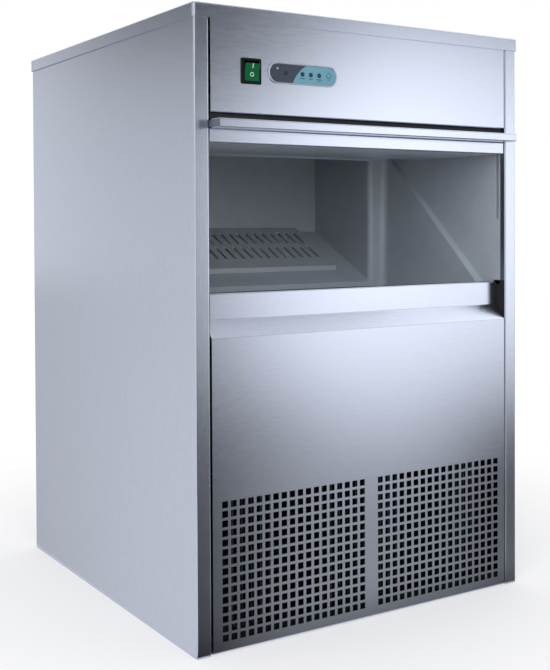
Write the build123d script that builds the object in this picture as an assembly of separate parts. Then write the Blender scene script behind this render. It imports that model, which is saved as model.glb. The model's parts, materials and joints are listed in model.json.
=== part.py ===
"""Ice cube machine: a stainless cabinet with an insulated ice bin behind an up-and-over door.

Everything is laid out in millimetres with x across the machine, y back from its front plane and
z up from the floor. When a piece is saved it is moved so that the origin is the middle of the base.
The door is drawn open, pushed back level under the control panel.
"""
import os
from math import cos, hypot, radians, tan

from build123d import *

os.makedirs("parts", exist_ok=True)

# Cabinet
WIDTH = 500.0
DEPTH = 525.0
HEIGHT = 750.0
SHEET = 1.0            # stainless sheet
BEND = 2.0             # bend radius of the folded sheets
GAP = 0.3              # clearance between pieces that are fitted together
RUN = 0.05             # radial running clearance
PAST = 1.0             # cutting shapes run this far past the face they cut
POST = 19.5            # width of the front posts folded from the side panels
POST_RETURN = 8.5      # depth of the fold behind each post
BACK_RETURN = 15.0
PANEL_GAP = 2.0        # dark joint between a post and the front panels
LID_SKIRT = 17.0
LID_OVERHANG = 1.8
LID_CORNER = 3.5
LID_LAP = 8.0          # panels run this far up behind the lid skirt
PAN_SHEET = 1.5
PAN_FLANGE = 15.0
PAN_SETBACK = 13.0     # base pan behind the front plane
LEG_HOLE_R = 5.0
LEG_INSET = 26.0       # leg holes in from the sides, front and back
LEG_NUT_R = 8.8
LEG_NUT_H = 8.0

# Front panel and its grilles
PANEL_FOOT = 1.0       # front panel above the floor
RECESS_DEPTH = 17.0    # finger recess under the door lip
CHAMFER_LOW = 366.0
CHAMFER_HIGH = 385.5
SILL_TOP = 417.0
SILL_REACH = 14.0      # sill from the recess back to the bin
HOLE = 7.8
HOLE_COLUMNS = 18
HOLE_ROWS = 15
PITCH_Z = 11.1
FIELD_INNER = 10.3     # first hole edge from the middle of the machine
FIELD_OUTER = 12.4     # last hole edge from the end of the panel
FIELD_LOW = 13.5       # lowest hole edge
FIELD_MARGIN = 1.5     # plain sheet above and below the holes before the folds start

# Control panel
CONTROL_DROP = 124.0   # lower edge below the lid top
CONTROL_RETURN = 20.0
SWITCH_IN = 75.7       # middle of the switch from the left side
SWITCH_DROP = 74.0     # and below the lid top
SWITCH_W = 27.2
SWITCH_H = 30.4
SWITCH_RIM = 2.0
SWITCH_EDGE = 0.8      # chamfer round its rim
SWITCH_FRAME = 3.2     # face of the switch frame round its well
SWITCH_BODY_DEPTH = 24.0
SWITCH_FLOOR = 4.0
ROCKER_W = 19.0
ROCKER_H = 20.6
ROCKER_PLAY = 0.5      # rocker to the sides of its well
ROCKER_TILT = 9.0      # rocker face off the panel plane, each way
ROCKER_PROUD = 0.6     # ridge of the rocker in front of its frame
ROCKER_PIVOT = 5.0     # rocker axis behind the front plane
ROCKER_KEEL = 6.0
ROCKER_TAPER = 4.0
TRUNNION_R = 1.5
DISPLAY_IN = 149.0     # middle of the display from the left side
DISPLAY_DROP = 73.3
DISPLAY_W = 99.4
DISPLAY_H = 25.4
DISPLAY_RIM = 1.8
DISPLAY_EDGE = 0.7
DISPLAY_PROUD = 2.0
OVERLAY_SUNK = 0.8     # overlay behind the front of its rim
LAMP_R = 2.7
LAMP_SUNK = 0.3
LAMP_STEPS = (-25.3, -1.8, 10.4, 22.6)   # lamps from the middle of the display
LAMP_RISE = 0.4        # lamps above the middle of the display
BOARD_GAP = 6.0        # circuit board behind the front plane
BOARD_THICK = 1.6
BOARD_BORDER = 7.0     # board past the display at its ends
SPACER_R = 2.5
SPACER_IN = 4.0

# Door, drawn open
DOOR_BELOW = 8.3       # outer face of the open door below the control panel
DOOR_THICK = 26.2
DOOR_SIDE_GAP = 1.5    # door end to post
PIN_DEPTH = 15.4       # pivot behind the outer face
PIVOT_R = 2.5
ROLLER_R = 3.4
LIP_REACH = 23.5       # lip in front of the front plane
LIP_THICK = 10.5
LIP_BEND = 1.5
DOOR_HEM = 5.0         # fold under the inner shell
DOOR_END = 1.8         # front end of the open door behind the front plane
DOOR_LIFT = 2.6        # closed door above the sill
DOOR_TAIL = 12.0       # door beyond its pivot
TAIL_CORNER = 6.0
TAIL_DROP = 5.0        # tail of the inner shell below the pivot
SKIN_DROP = 4.0        # tail fold of the skin below the pivot
PIN_SHARE = 0.525      # pivot to the guide pins, as a share of the door height
SHELL = 2.5            # grey inner shell of the door
SHELL_RISE = 21.5      # the shell starts to slope this far before the pivot
CHEEK = 2.0

# Bin liner
WALL = 2.5
DOOR_CLEAR = 1.0       # door end to recess wall
LINER_FRONT = 10.0
ROOF_CLEAR = 4.3       # recess roof above the open door
LEDGE_FOOT = 43.0      # diagonal ledge: y where it meets the sill
LEDGE_TAIL = 54.5      # its upper end behind the door pivot
LEDGE_DROP = 26.0      # and below the recess roof
BIN_LEDGE = 9.5        # width of the ledge at its top, each side
BIN_DROP = 24.0        # bin roof below the recess roof
BIN_DRAFT = 7.9        # bin half width lost from top to floor
BIN_LIFT = 31.0        # bin floor above the deck
BIN_BACK = 252.0
BIN_FRONT_TOP = 25.0
BIN_FRONT_LOW = 41.0
BIN_CORNER = 10.0
ALCOVE_IN = 4.5        # left alcove wall in from the bin wall
COLUMN = 30.5          # plain column between the alcove and the right bin wall
COLUMN_ROUND = 8.0    # rounded corner of the column
REAR_SPACE = 125.0     # space behind the alcove
ALCOVE_FRONT = 250.0
ALCOVE_DROP = 100.0    # alcove top below the lid top
FLOOR_FRONT = 407.5    # alcove floor at its front edge
FLOOR_ANGLE = 27.2
TRACK_SLOT = 7.0
TRACK_END = 0.8        # play beyond the roller at the end of its run
TRACK_DEPTH = 4.5
TRACK_BACK = 1.5       # track wall behind its groove
TRACK_EDGE = 5.5       # track body round its groove
TRACK_LIP = 1.0        # and in front of its upright slot

# Ice slide, whose slots are in two rows
SLIDE_LIFT = 7.5       # slide face above the alcove floor
SLIDE_SHEET = 2.5
SLIDE_IN = 5.0         # left end from the alcove wall
SLIDE_SHORT = 40.0     # right end from the alcove wall
SLIDE_LIP = 285.0
SLIDE_SLOT = 5.0
SLIDE_SLOTS = 23
SLIDE_END = 15.5       # outermost slot from the end of the slide
SLIDE_BACKS = ((90.0, 57.0), (48.0, 16.0))   # rows in front of the alcove back
DRAIN_RIM = 12.0       # alcove floor left under the rim of the slide

# Shelves and water tank
DECK_Z = 205.0
SHELF_Z = 343.0
SHELF_FLANGE = 20.0
HATCH = 12.0           # room round the pipe through the rear shelf
TANK_WALL = 2.5
TANK_FRONT = 268.0
TANK_BACK_IN = 5.0     # tank back in front of the alcove back
TANK_IN = 11.0
FLOAT_IN = 55.0        # float from the left end of the tank
FLOAT_BACK = 45.0      # and from its back
FLOAT_R = 11.0
FLOAT_H = 25.0
STEM_R = 3.0
STEM_H = 62.0
STEM_FOOT = 10.0
STEM_STOP = 4.0
PUMP_IN = 60.0         # pump from the right end of the tank
PUMP_BEHIND = 3.5      # pump behind the middle of the tank
PUMP_R = 20.0
PUMP_FOOT = 14.0
PUMP_H = 50.0
SPOUT_R = 5.0
SPOUT_OUT = 16.0

# Services at the back
DRAIN_IN = 100.0       # drain from the left side
DRAIN_BACK = 48.0      # drain hole from the bin back
DRAIN_R = 8.0
DRAIN_BORE = 6.0
DRAIN_Z = 150.0
DRAIN_ROOM = 4.0       # room round the hose in deck and board
DRAIN_BEND = 25.0
SPIGOT_IN = 14.0
SPIGOT_OUT = 22.0
FLANGE = 6.0
FLANGE_THICK = 3.0
NECK = 0.8             # how much thinner the stubs are where they pass the rear panel
NECK_OUT = 1.5         # neck beyond the panel
INLET_X = -60.0
INLET_Z = 450.0
INLET_R = 13.2
INLET_BORE = 10.2
INLET_IN = 6.0
INLET_OUT = 14.0
VALVE = 16.0           # half width of the valve body
VALVE_DEPTH = 34.0
COIL_R = 14.0
COIL_H = 36.0
VALVE_SPOUT_R = 6.0
VALVE_SPOUT_OUT = 14.0
VALVE_FOOT = 5.0
GLAND_IN = 60.0        # gland from the right side
GLAND_Z = 90.0
GLAND_BORE = 4.2
GLAND_R = 9.0
GLAND_NUT = 3.0
GLAND_OUT = 14.0
GLAND_INSIDE = 8.0
VENT_W = 80.0
VENT_H = 5.0
VENT_LOW = 185.0
VENT_PITCH = 14.0
VENT_ROWS = 8
VENT_STEP = 105.0      # between the three stacks of vents
BACK_MARGIN = 3.0      # rear panel in from the sides
BACK_TOP = 5.0

# Compressor space
COMPRESSOR_IN = 135.0  # compressor from the right side
COMPRESSOR_BACK = 125.0
COMPRESSOR_R = 62.0
COMPRESSOR_Z = 22.0
COMPRESSOR_H = 150.0
BASE_SHARE = 0.7       # radii of the can's profile, as shares of its own
SHOULDER_SHARE = 0.8
CROWN_SHARE = 0.35
BASE_RISE = 18.0
SHOULDER_DROP = 38.0
CROWN_DROP = 12.0
FOOT_PITCH = 58.0
FOOT_EDGE = 12.0
PLATE_THICK = 4.0
GROMMET_R = 10.0
GROMMET_NECK = 5.0
CONDENSER_Y = 24.0
CONDENSER_DEPTH = 36.0
CONDENSER_IN = 43.7    # condenser ends in from the side panels
CONDENSER_LOW = 18.0
CONDENSER_TOP = 182.0
CONDENSER_WEB = 2.0
FIN_THICK = 0.8
FIN_COUNT = 30
FIN_END = 16.5         # first fin from the end of the block
END_PLATE = 1.5
FAN_IN = 160.0         # fan from the left side
FAN_Z = 100.0
FAN_R = 74.0
FAN_BEHIND = 24.0      # fan behind the condenser
FAN_TIP = 3.0          # blade tip to the shroud
HUB_R = 20.0
HUB_HALF = 9.0
SHAFT_R = 3.0
SHAFT_REACH = 35.0
BLADES = 5
ROOT_ANGLE = 35.0
ROOT_CHORD = 26.0
ROOT_THICK = 2.0
TIP_ANGLE = 55.0
TIP_CHORD = 36.0
TIP_THICK = 1.5
SHROUD_EDGE = 4.0
SHROUD_BACK = 14.0     # shroud behind the middle of the fan
ARM_THICK = 3.0
ARM_HALF = 10.0
MOTOR_R = 27.0
MOTOR_H = 48.0
MOTOR_BORE = 20.0
DRIER_X = -30.0
DRIER_Y = 220.0
DRIER_L = 100.0
DRIER_R = 12.0
DRIER_STUB = 20.0
DRIER_STUB_R = 3.0

# Refrigerant pipes
HOT_R = 3.5
HOT_BEND = 9.0
HOT_X = 14.0           # hot pipe left of the compressor's middle
HOT_Y = 140.0          # where it turns down to the condenser
HOT_RISE = 26.0
HOT_DROP = 24.0
COLD_R = 4.0
COLD_BEND = 8.0
COLD_X = 12.0          # cold pipe right of the compressor's middle
COLD_Y = 6.0
COLD_RISE = 26.0
COLD_SIDE = 6.0        # its rise in from the column
COLD_REAR = 25.0       # its level run behind the alcove
COLD_UP = 20.0
DOWN_IN = 55.0         # its drop through the rear shelf, left of the compressor
DOWN_BACK = 70.0       # and in front of the rear panel

# Ice unit above the alcove
FRAME_TOP_GAP = 15.0   # frame top below the lid top
FRAME_SHEET = 2.5
FRAME_FRONT = 25.0
FRAME_BACK = 8.0
TRAY_PIVOT_BACK = 25.0 # tray pivot in front of the alcove back
TRAY_PIVOT_DROP = 50.0
TRAY_IN = 20.0         # tray ends in from the alcove walls
TRAY_DEPTH = 82.0
TRAY_H = 27.0
TRAY_TOP_DROP = 66.0
TRAY_WALL = 2.0
TRAY_FLOOR = 6.0
TRAY_ROUND = 8.0
TRAY_PIN = 4.0
TRAY_BEHIND = 8.0      # pivot behind the tray
EAR = 8.0
EAR_REACH = 30.0
MOTOR_BOX = 26.0
MOTOR_BOX_HALF = 22.0
MOTOR_BOX_LOW = 30.0
MOTOR_SOCKET = 9.0
PIPE_R = 5.0
PIPE_DROP = 44.0
PIPE_IN = 23.0         # pipe legs in from the tray walls
PIPE_END = 12.0        # pipe past its last finger
FINGER_R = 7.0
FINGER_DROP = 82.0
FINGER_END = 31.0      # first finger from the end of the tray
FINGER_COUNT = 11
CLAMP_HALF = 7.0
CLAMP_EDGE = 12.0
BOX_GAP = 10.0         # control box from the column
BOX_FRONT = 280.0
BOX_DEPTH = 200.0
BOX_H = 80.0
BOX_ROUND = 3.0

# Placed from the sizes above
HALF = WIDTH / 2
PANEL_HALF = HALF - POST - PANEL_GAP
INSIDE_HALF = HALF - SHEET - GAP
BACK_INSIDE = DEPTH - 2 * SHEET - GAP
PITCH_X = (PANEL_HALF - FIELD_INNER - FIELD_OUTER - HOLE) / (HOLE_COLUMNS - 1)
FIELD_HIGH = FIELD_LOW + HOLE + (HOLE_ROWS - 1) * PITCH_Z
CONTROL_LOW = HEIGHT - CONTROL_DROP
SWITCH_X = -HALF + SWITCH_IN
SWITCH_Z = HEIGHT - SWITCH_DROP
DISPLAY_X = -HALF + DISPLAY_IN
DISPLAY_Z = HEIGHT - DISPLAY_DROP
LAMP_XS = [DISPLAY_X + step for step in LAMP_STEPS]
LAMP_Z = DISPLAY_Z + LAMP_RISE
DOOR_HALF = HALF - POST - DOOR_SIDE_GAP
DOOR_TOP = CONTROL_LOW - DOOR_BELOW
DOOR_UNDER = DOOR_TOP - DOOR_THICK
TRACK_Z = DOOR_TOP - PIN_DEPTH
TRACK_Y = PIN_DEPTH
DOOR_DROP = TRACK_Z - SILL_TOP - DOOR_LIFT
PIVOT_Y = DOOR_END + DOOR_DROP
PIN_SPAN = PIN_SHARE * DOOR_DROP
GUIDE_Y = PIVOT_Y - PIN_SPAN
SHELL_FLAT = PIVOT_Y - SHELL_RISE
RECESS_HALF = DOOR_HALF + DOOR_CLEAR
RECESS_TOP = DOOR_TOP + ROOF_CLEAR
LEDGE_HEAD = PIVOT_Y + LEDGE_TAIL
LEDGE_TOP = RECESS_TOP - LEDGE_DROP
BIN_ROOF = RECESS_TOP - BIN_DROP
BIN_FLOOR = DECK_Z + BIN_LIFT
BIN_HALF_TOP = RECESS_HALF - BIN_LEDGE
BIN_HALF_LOW = BIN_HALF_TOP - BIN_DRAFT
ALCOVE_LEFT = -BIN_HALF_TOP + ALCOVE_IN
ALCOVE_RIGHT = BIN_HALF_TOP - COLUMN
ALCOVE_BACK = DEPTH - REAR_SPACE
ALCOVE_TOP = HEIGHT - ALCOVE_DROP
SLOPE = tan(radians(FLOOR_ANGLE))
SLOT_LOW = TRACK_Z - PIN_SPAN - TRACK_SLOT / 2
SLIDE_LEFT = ALCOVE_LEFT + SLIDE_IN
SLIDE_RIGHT = ALCOVE_RIGHT - SLIDE_SHORT
SLIDE_PITCH = (SLIDE_RIGHT - SLIDE_LEFT - 2 * SLIDE_END) / (SLIDE_SLOTS - 1)
SLIDE_ROWS = [(ALCOVE_BACK - front, ALCOVE_BACK - back) for front, back in SLIDE_BACKS]
DECK_TOP = DECK_Z + SHEET
TANK_FLOOR = SHELF_Z + SHEET + GAP
TANK_LEFT = ALCOVE_LEFT + TANK_IN
TANK_RIGHT = ALCOVE_RIGHT - SLIDE_SHORT
TANK_BACK = ALCOVE_BACK - TANK_BACK_IN
TANK_INSIDE = TANK_FLOOR + TANK_WALL
FLOAT_X = TANK_LEFT + FLOAT_IN
FLOAT_Y = TANK_BACK - FLOAT_BACK
PUMP_X = TANK_RIGHT - PUMP_IN
PUMP_Y = (TANK_FRONT + TANK_BACK) / 2 + PUMP_BEHIND
DRAIN_X = -HALF + DRAIN_IN
DRAIN_Y = BIN_BACK - DRAIN_BACK
GLAND_X = HALF - GLAND_IN
COMPRESSOR_X = HALF - COMPRESSOR_IN
COMPRESSOR_Y = DEPTH - COMPRESSOR_BACK
COMPRESSOR_TOP = COMPRESSOR_Z + COMPRESSOR_H
CONDENSER_HALF = INSIDE_HALF - CONDENSER_IN
CONDENSER_BACK = CONDENSER_Y + CONDENSER_DEPTH
FIN_PITCH = 2 * (CONDENSER_HALF - FIN_END) / (FIN_COUNT - 1)
FAN_X = -HALF + FAN_IN
FAN_Y = CONDENSER_BACK + FAN_BEHIND
UNIT_TOP = HEIGHT - FRAME_TOP_GAP
TRAY_PIVOT_Y = ALCOVE_BACK - TRAY_PIVOT_BACK
TRAY_PIVOT_Z = HEIGHT - TRAY_PIVOT_DROP
TRAY_LEFT = ALCOVE_LEFT + TRAY_IN
TRAY_RIGHT = ALCOVE_RIGHT - TRAY_IN
TRAY_BACK = TRAY_PIVOT_Y - TRAY_BEHIND
TRAY_FRONT = TRAY_BACK - TRAY_DEPTH
TRAY_TOP = HEIGHT - TRAY_TOP_DROP
TRAY_LOW = TRAY_TOP - TRAY_H
PIPE_ROWS = (TRAY_FRONT + PIPE_IN, TRAY_BACK - PIPE_IN)
PIPE_Z = HEIGHT - PIPE_DROP
FINGER_LOW = HEIGHT - FINGER_DROP
FINGER_PITCH = (TRAY_RIGHT - TRAY_LEFT - 2 * FINGER_END) / (FINGER_COUNT - 1)
DOWN_X = COMPRESSOR_X - DOWN_IN
DOWN_Y = DEPTH - DOWN_BACK


def floor_z(y):
    """Height of the sloping alcove floor at y."""
    return FLOOR_FRONT + (y - ALCOVE_FRONT) * SLOPE


def slide_z(y):
    """Height of the slotted face of the ice slide at y."""
    return floor_z(y) + SLIDE_LIFT


def block(x0, x1, y0, y1, z0, z1):
    """Box between two corners."""
    return Pos((x0 + x1) / 2, (y0 + y1) / 2, (z0 + z1) / 2) * Box(x1 - x0, y1 - y0, z1 - z0)


def rod(start, end, r, sides=0):
    """Round bar between two points, or a bar with the given number of flats."""
    axis = Vector(*end) - Vector(*start)
    section = RegularPolygon(r, sides) if sides else Circle(r)
    return extrude(Plane(origin=start, z_dir=axis) * section, amount=axis.length)


def rod_x(x0, x1, y, z, r, sides=0):
    """Bar along x."""
    return rod((x0, y, z), (x1, y, z), r, sides)


def rod_y(x, y0, y1, z, r, sides=0):
    """Bar along y."""
    return rod((x, y0, z), (x, y1, z), r, sides)


def rod_z(x, y, z0, z1, r, sides=0):
    """Bar along z."""
    return rod((x, y, z0), (x, y, z1), r, sides)


def across(outline, x0, x1):
    """Outline of (y, z) points extruded from x0 to x1."""
    face = make_face(Polyline(*outline, close=True))
    return extrude(Plane.YZ.offset(x0) * face, amount=x1 - x0)


def folded_across(path, half, side=Side.RIGHT, bend=BEND):
    """Sheet folded along (y, z) points that lie on its outer face, from -half to half."""
    line = FilletPolyline(*path, radius=bend)
    strip = make_face(offset(line, amount=SHEET, side=side))
    return extrude(Plane.YZ.offset(-half) * strip, amount=2 * half)


def rectangle_wire(x, z, width, height, y):
    """Closed rectangle in an upright plane."""
    w, h = width / 2, height / 2
    corners = [(x - w, y, z - h), (x + w, y, z - h), (x + w, y, z + h), (x - w, y, z + h)]
    return Wire.make_polygon(corners, close=True)


def circle_wire(x, z, r, y):
    """Closed circle in an upright plane."""
    return Wire.make_circle(r, Plane(origin=(x, y, z), z_dir=(0, 1, 0)))


def stadium_wire(x, z, width, height, y):
    """Closed outline with round ends in an upright plane."""
    plane = Plane(origin=(x, y, z), x_dir=(1, 0, 0), z_dir=(0, -1, 0))
    return (plane * SlotOverall(width, height)).wire()


def pierced_plate(outline, holes, thickness):
    """Upright plate with holes, grown back from the plane of its wires."""
    return extrude(Face(outline, holes), amount=thickness, dir=(0, 1, 0))


def bent_pipe(points, r, bend, sides=8):
    """Pipe along straight runs joined by round bends, with flats."""
    path = FilletPolyline(*points, radius=bend)
    start = Plane(origin=path @ 0, z_dir=path % 0)
    return sweep(start * RegularPolygon(r, sides), path=path)


def mirrored(part):
    """Left-hand twin of a right-hand piece, or the other way round."""
    return mirror(part, about=Plane.YZ)


def folded_side():
    """Left side panel: post return, post, side and back return are one folded sheet."""
    path = [
        (-HALF + POST, POST_RETURN),
        (-HALF + POST, 0),
        (-HALF, 0),
        (-HALF, DEPTH - SHEET),
        (-HALF + BACK_RETURN, DEPTH - SHEET),
    ]
    line = FilletPolyline(*path, radius=BEND)
    strip = make_face(offset(line, amount=SHEET, side=Side.RIGHT))
    return extrude(strip, amount=HEIGHT - SHEET - GAP)


def top_lid():
    """Folded lid that caps the panels, with a skirt all round."""
    low = HEIGHT - LID_SKIRT
    outer = block(-HALF - LID_OVERHANG, HALF + LID_OVERHANG, -LID_OVERHANG, DEPTH + LID_OVERHANG, low, HEIGHT)
    outer = fillet(outer.edges().filter_by(Axis.Z), LID_CORNER)
    outer = fillet(outer.edges().group_by(Axis.Z)[-1], BEND)
    reach = LID_OVERHANG - SHEET
    hollow = block(-HALF - reach, HALF + reach, -reach, DEPTH + reach, low - PAST, HEIGHT - SHEET)
    return outer - fillet(hollow.edges().filter_by(Axis.Z), LID_CORNER - SHEET)


def leg_points():
    """Middles of the four leg holes."""
    return [(sx * (HALF - LEG_INSET), y) for sx in (-1, 1) for y in (LEG_INSET, DEPTH - LEG_INSET)]


def base_pan():
    """Folded tray that the machine stands on, with four leg holes."""
    outer = block(-INSIDE_HALF, INSIDE_HALF, PAN_SETBACK, BACK_INSIDE, 0, PAN_FLANGE)
    inner = block(-INSIDE_HALF + PAN_SHEET, INSIDE_HALF - PAN_SHEET, PAN_SETBACK + PAN_SHEET,
                  BACK_INSIDE - PAN_SHEET, PAN_SHEET, PAN_FLANGE + PAST)
    holes = [rod_z(x, y, -PAST, PAN_SHEET + PAST, LEG_HOLE_R) for x, y in leg_points()]
    return outer - inner - holes


def leg_nuts():
    """Four hexagon nuts pressed into the base pan."""
    nut = extrude(RegularPolygon(LEG_NUT_R, 6) - Circle(LEG_HOLE_R), amount=LEG_NUT_H)
    return Compound([Pos(x, y, PAN_SHEET) * nut for x, y in leg_points()])


def grille_holes():
    """Square holes of both grille fields."""
    wires = []
    for side in (-1, 1):
        for i in range(HOLE_COLUMNS):
            x = side * (FIELD_INNER + HOLE / 2 + i * PITCH_X)
            for j in range(HOLE_ROWS):
                wires.append(rectangle_wire(x, FIELD_LOW + HOLE / 2 + j * PITCH_Z, HOLE, HOLE, 0))
    return wires


def front_panel():
    """Lower front: foot fold, pierced field, chamfer, finger recess and sill in one sheet."""
    low, high = FIELD_LOW - FIELD_MARGIN, FIELD_HIGH + FIELD_MARGIN
    foot = folded_across([(PAN_SETBACK - PAST, PANEL_FOOT), (0, PANEL_FOOT), (0, low)], PANEL_HALF)
    top = folded_across([(0, high), (0, CHAMFER_LOW), (RECESS_DEPTH, CHAMFER_HIGH), (RECESS_DEPTH, SILL_TOP),
                         (RECESS_DEPTH + SILL_REACH, SILL_TOP)], PANEL_HALF)
    field = rectangle_wire(0, (low + high) / 2, 2 * PANEL_HALF, high - low, 0)
    return foot + pierced_plate(field, grille_holes(), SHEET) + top


def control_panel():
    """Folded panel above the door, cut for the switch and the display."""
    top = HEIGHT - LID_SKIRT + LID_LAP
    low = CONTROL_LOW + 2 * BEND
    fold = folded_across([(CONTROL_RETURN, CONTROL_LOW), (0, CONTROL_LOW), (0, low)], PANEL_HALF)
    outline = rectangle_wire(0, (low + top) / 2, 2 * PANEL_HALF, top - low, 0)
    switch = rectangle_wire(SWITCH_X, SWITCH_Z, SWITCH_W - 2 * SWITCH_RIM, SWITCH_H - 2 * SWITCH_RIM, 0)
    display = stadium_wire(DISPLAY_X, DISPLAY_Z, DISPLAY_W - 4 * DISPLAY_RIM, DISPLAY_H - 4 * DISPLAY_RIM, 0)
    return fold + pierced_plate(outline, [switch, display], SHEET)


def around_switch(width, height, y0, y1):
    """Block centred on the switch."""
    w, h = width / 2, height / 2
    return block(SWITCH_X - w, SWITCH_X + w, y0, y1, SWITCH_Z - h, SWITCH_Z + h)


def switch_housing():
    """Black frame of the rocker switch, clipped through the panel, with its rocker well."""
    rim = around_switch(SWITCH_W, SWITCH_H, -SWITCH_RIM, 0)
    rim = fillet(rim.edges().filter_by(Axis.Y), SWITCH_RIM)
    rim = chamfer(rim.faces().sort_by(Axis.Y)[0].edges(), SWITCH_EDGE)
    neck = 2 * SWITCH_RIM + GAP
    body = around_switch(SWITCH_W - neck, SWITCH_H - neck, 0, SWITCH_BODY_DEPTH)
    well = around_switch(ROCKER_W + 2 * ROCKER_PLAY, SWITCH_H - 2 * SWITCH_FRAME, -SWITCH_RIM - PAST,
                         SWITCH_BODY_DEPTH - SWITCH_FLOOR)
    return rim + body - well


def power_rocker():
    """Green rocker with two flats that meet over its pivot, on short trunnions."""
    face = -SWITCH_RIM - ROCKER_PROUD
    half = ROCKER_H / 2
    rise = half * tan(radians(ROCKER_TILT))
    outline = [(face - rise, half), (face, 0), (face - rise, -half), (ROCKER_PIVOT, -half + ROCKER_TAPER),
               (ROCKER_PIVOT + ROCKER_KEEL, 0), (ROCKER_PIVOT, half - ROCKER_TAPER)]
    wedge = across([(y, z + SWITCH_Z) for y, z in outline], SWITCH_X - ROCKER_W / 2, SWITCH_X + ROCKER_W / 2)
    reach = ROCKER_W / 2 + ROCKER_PLAY - RUN
    pin = rod_x(SWITCH_X - reach, SWITCH_X + reach, ROCKER_PIVOT, SWITCH_Z, TRUNNION_R)
    about = Pos(0, ROCKER_PIVOT, SWITCH_Z)
    return about * Rot(ROCKER_TILT, 0, 0) * about.inverse() * (wedge + pin)


def display_outline(border, y):
    """Outline of the display, moved in by border."""
    return stadium_wire(DISPLAY_X, DISPLAY_Z, DISPLAY_W - 2 * border, DISPLAY_H - 2 * border, y)


def display_bezel():
    """Raised rim round the display."""
    ring = pierced_plate(display_outline(0, -DISPLAY_PROUD), [display_outline(DISPLAY_RIM, -DISPLAY_PROUD)],
                         DISPLAY_PROUD)
    return chamfer(ring.faces().sort_by(Axis.Y)[0].edges(), DISPLAY_EDGE)


def display_overlay():
    """Printed overlay inside the rim, with a small well for each lamp."""
    y = OVERLAY_SUNK - DISPLAY_PROUD
    holes = [circle_wire(x, LAMP_Z, LAMP_R + RUN, y) for x in LAMP_XS]
    return pierced_plate(display_outline(DISPLAY_RIM + GAP / 2, y), holes, -y)


def indicator_lamps():
    """Lamp lenses that stand in the overlay on the board behind."""
    front, back = LAMP_SUNK - DISPLAY_PROUD, BOARD_GAP - GAP
    return Compound([rod_y(x, front, back, LAMP_Z, LAMP_R, 12) for x in LAMP_XS])


def display_board():
    """Circuit board behind the display on four spacers."""
    w, h = DISPLAY_W / 2 + BOARD_BORDER, DISPLAY_H / 2 + BOARD_BORDER
    board = block(DISPLAY_X - w, DISPLAY_X + w, BOARD_GAP, BOARD_GAP + BOARD_THICK,
                  DISPLAY_Z - h, DISPLAY_Z + h)
    across_x, across_z = w - SPACER_IN, h - SPACER_IN
    return board + [rod_y(DISPLAY_X + sx * across_x, SHEET, BOARD_GAP, DISPLAY_Z + sz * across_z, SPACER_R, 6)
                    for sx in (-1, 1) for sz in (-1, 1)]


def door_outline(inset):
    """Fold points of the door section, moved in by inset."""
    rear, top = PIVOT_Y + DOOR_TAIL - inset, DOOR_TOP - inset
    lip, lip_low = -LIP_REACH + inset, DOOR_TOP - LIP_THICK + inset
    return rear, top, lip, lip_low, DOOR_END + inset, DOOR_UNDER + inset


def door_skin():
    """Door face, hollow lip handle and end fold in one sheet."""
    rear, top, lip, lip_low, end, under = door_outline(0)
    path = [(rear, TRACK_Z - SKIN_DROP), (rear, top), (lip, top), (lip, lip_low), (end, lip_low),
            (end, under), (end + DOOR_HEM, under)]
    return folded_across(path, DOOR_HALF, Side.LEFT, [TAIL_CORNER] + 4 * [LIP_BEND])


def door_liner():
    """Grey inner shell of the door: flat, then sloping up to the tail."""
    front, rear = DOOR_END + DOOR_HEM + GAP, PIVOT_Y + DOOR_TAIL - SHEET - GAP
    rise = TRACK_Z - TAIL_DROP
    outline = [(front, DOOR_UNDER), (SHELL_FLAT, DOOR_UNDER), (rear, rise), (rear, rise + SHELL),
               (SHELL_FLAT, DOOR_UNDER + SHELL), (front, DOOR_UNDER + SHELL)]
    half = DOOR_HALF - CHEEK - GAP
    shell = across(outline, -half, half)
    return chamfer(shell.edges().filter_by(Axis.Y).group_by(Axis.Z)[0], SHELL / 2)


def door_core():
    """Insulating board that fills the door between skin and inner shell."""
    front, rear = DOOR_END + SHEET + GAP, PIVOT_Y - ROLLER_R - SHELL
    low, high = DOOR_UNDER + SHELL + GAP, DOOR_TOP - SHEET - GAP
    outline = [(front, low), (SHELL_FLAT - SHELL, low), (rear, TRACK_Z - SHELL), (rear, high), (front, high)]
    half = DOOR_HALF - CHEEK - GAP
    return across(outline, -half, half)


def door_cheek():
    """Right end cap of the door, shaped to its section, with a guide pin and the pivot hole."""
    rear, top, lip, lip_low, end, _ = door_outline(SHEET + GAP)
    outline = [(rear, TRACK_Z - CHEEK), (rear, top), (lip, top), (lip, lip_low), (end, lip_low),
               (end, DOOR_UNDER + SHELL), (SHELL_FLAT, DOOR_UNDER)]
    cheek = across(outline, DOOR_HALF - CHEEK, DOOR_HALF)
    corner = cheek.edges().filter_by(Axis.X).sort_by(lambda e: -e.center().Y - e.center().Z)[0]
    cheek = fillet(corner, TAIL_CORNER - SHEET - GAP)
    cheek -= rod_x(DOOR_HALF - CHEEK - PAST, DOOR_HALF + PAST, PIVOT_Y, TRACK_Z, PIVOT_R + RUN)
    return cheek + rod_x(DOOR_HALF - CHEEK, RECESS_HALF - GAP, GUIDE_Y, TRACK_Z, ROLLER_R)


def door_pivot_rod():
    """Steel rod through the tail of the door from track to track."""
    end = RECESS_HALF + WALL + TRACK_DEPTH - GAP
    return rod_x(-end, end, PIVOT_Y, TRACK_Z, PIVOT_R)


def door_rollers():
    """Nylon rollers on the ends of the rod."""
    inner, outer = RECESS_HALF + GAP, RECESS_HALF + WALL + TRACK_DEPTH - GAP
    right = rod_x(inner, outer, PIVOT_Y, TRACK_Z, ROLLER_R)
    right -= rod_x(inner, outer, PIVOT_Y, TRACK_Z, PIVOT_R + RUN)
    return Compound([right, mirrored(right)])


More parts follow.
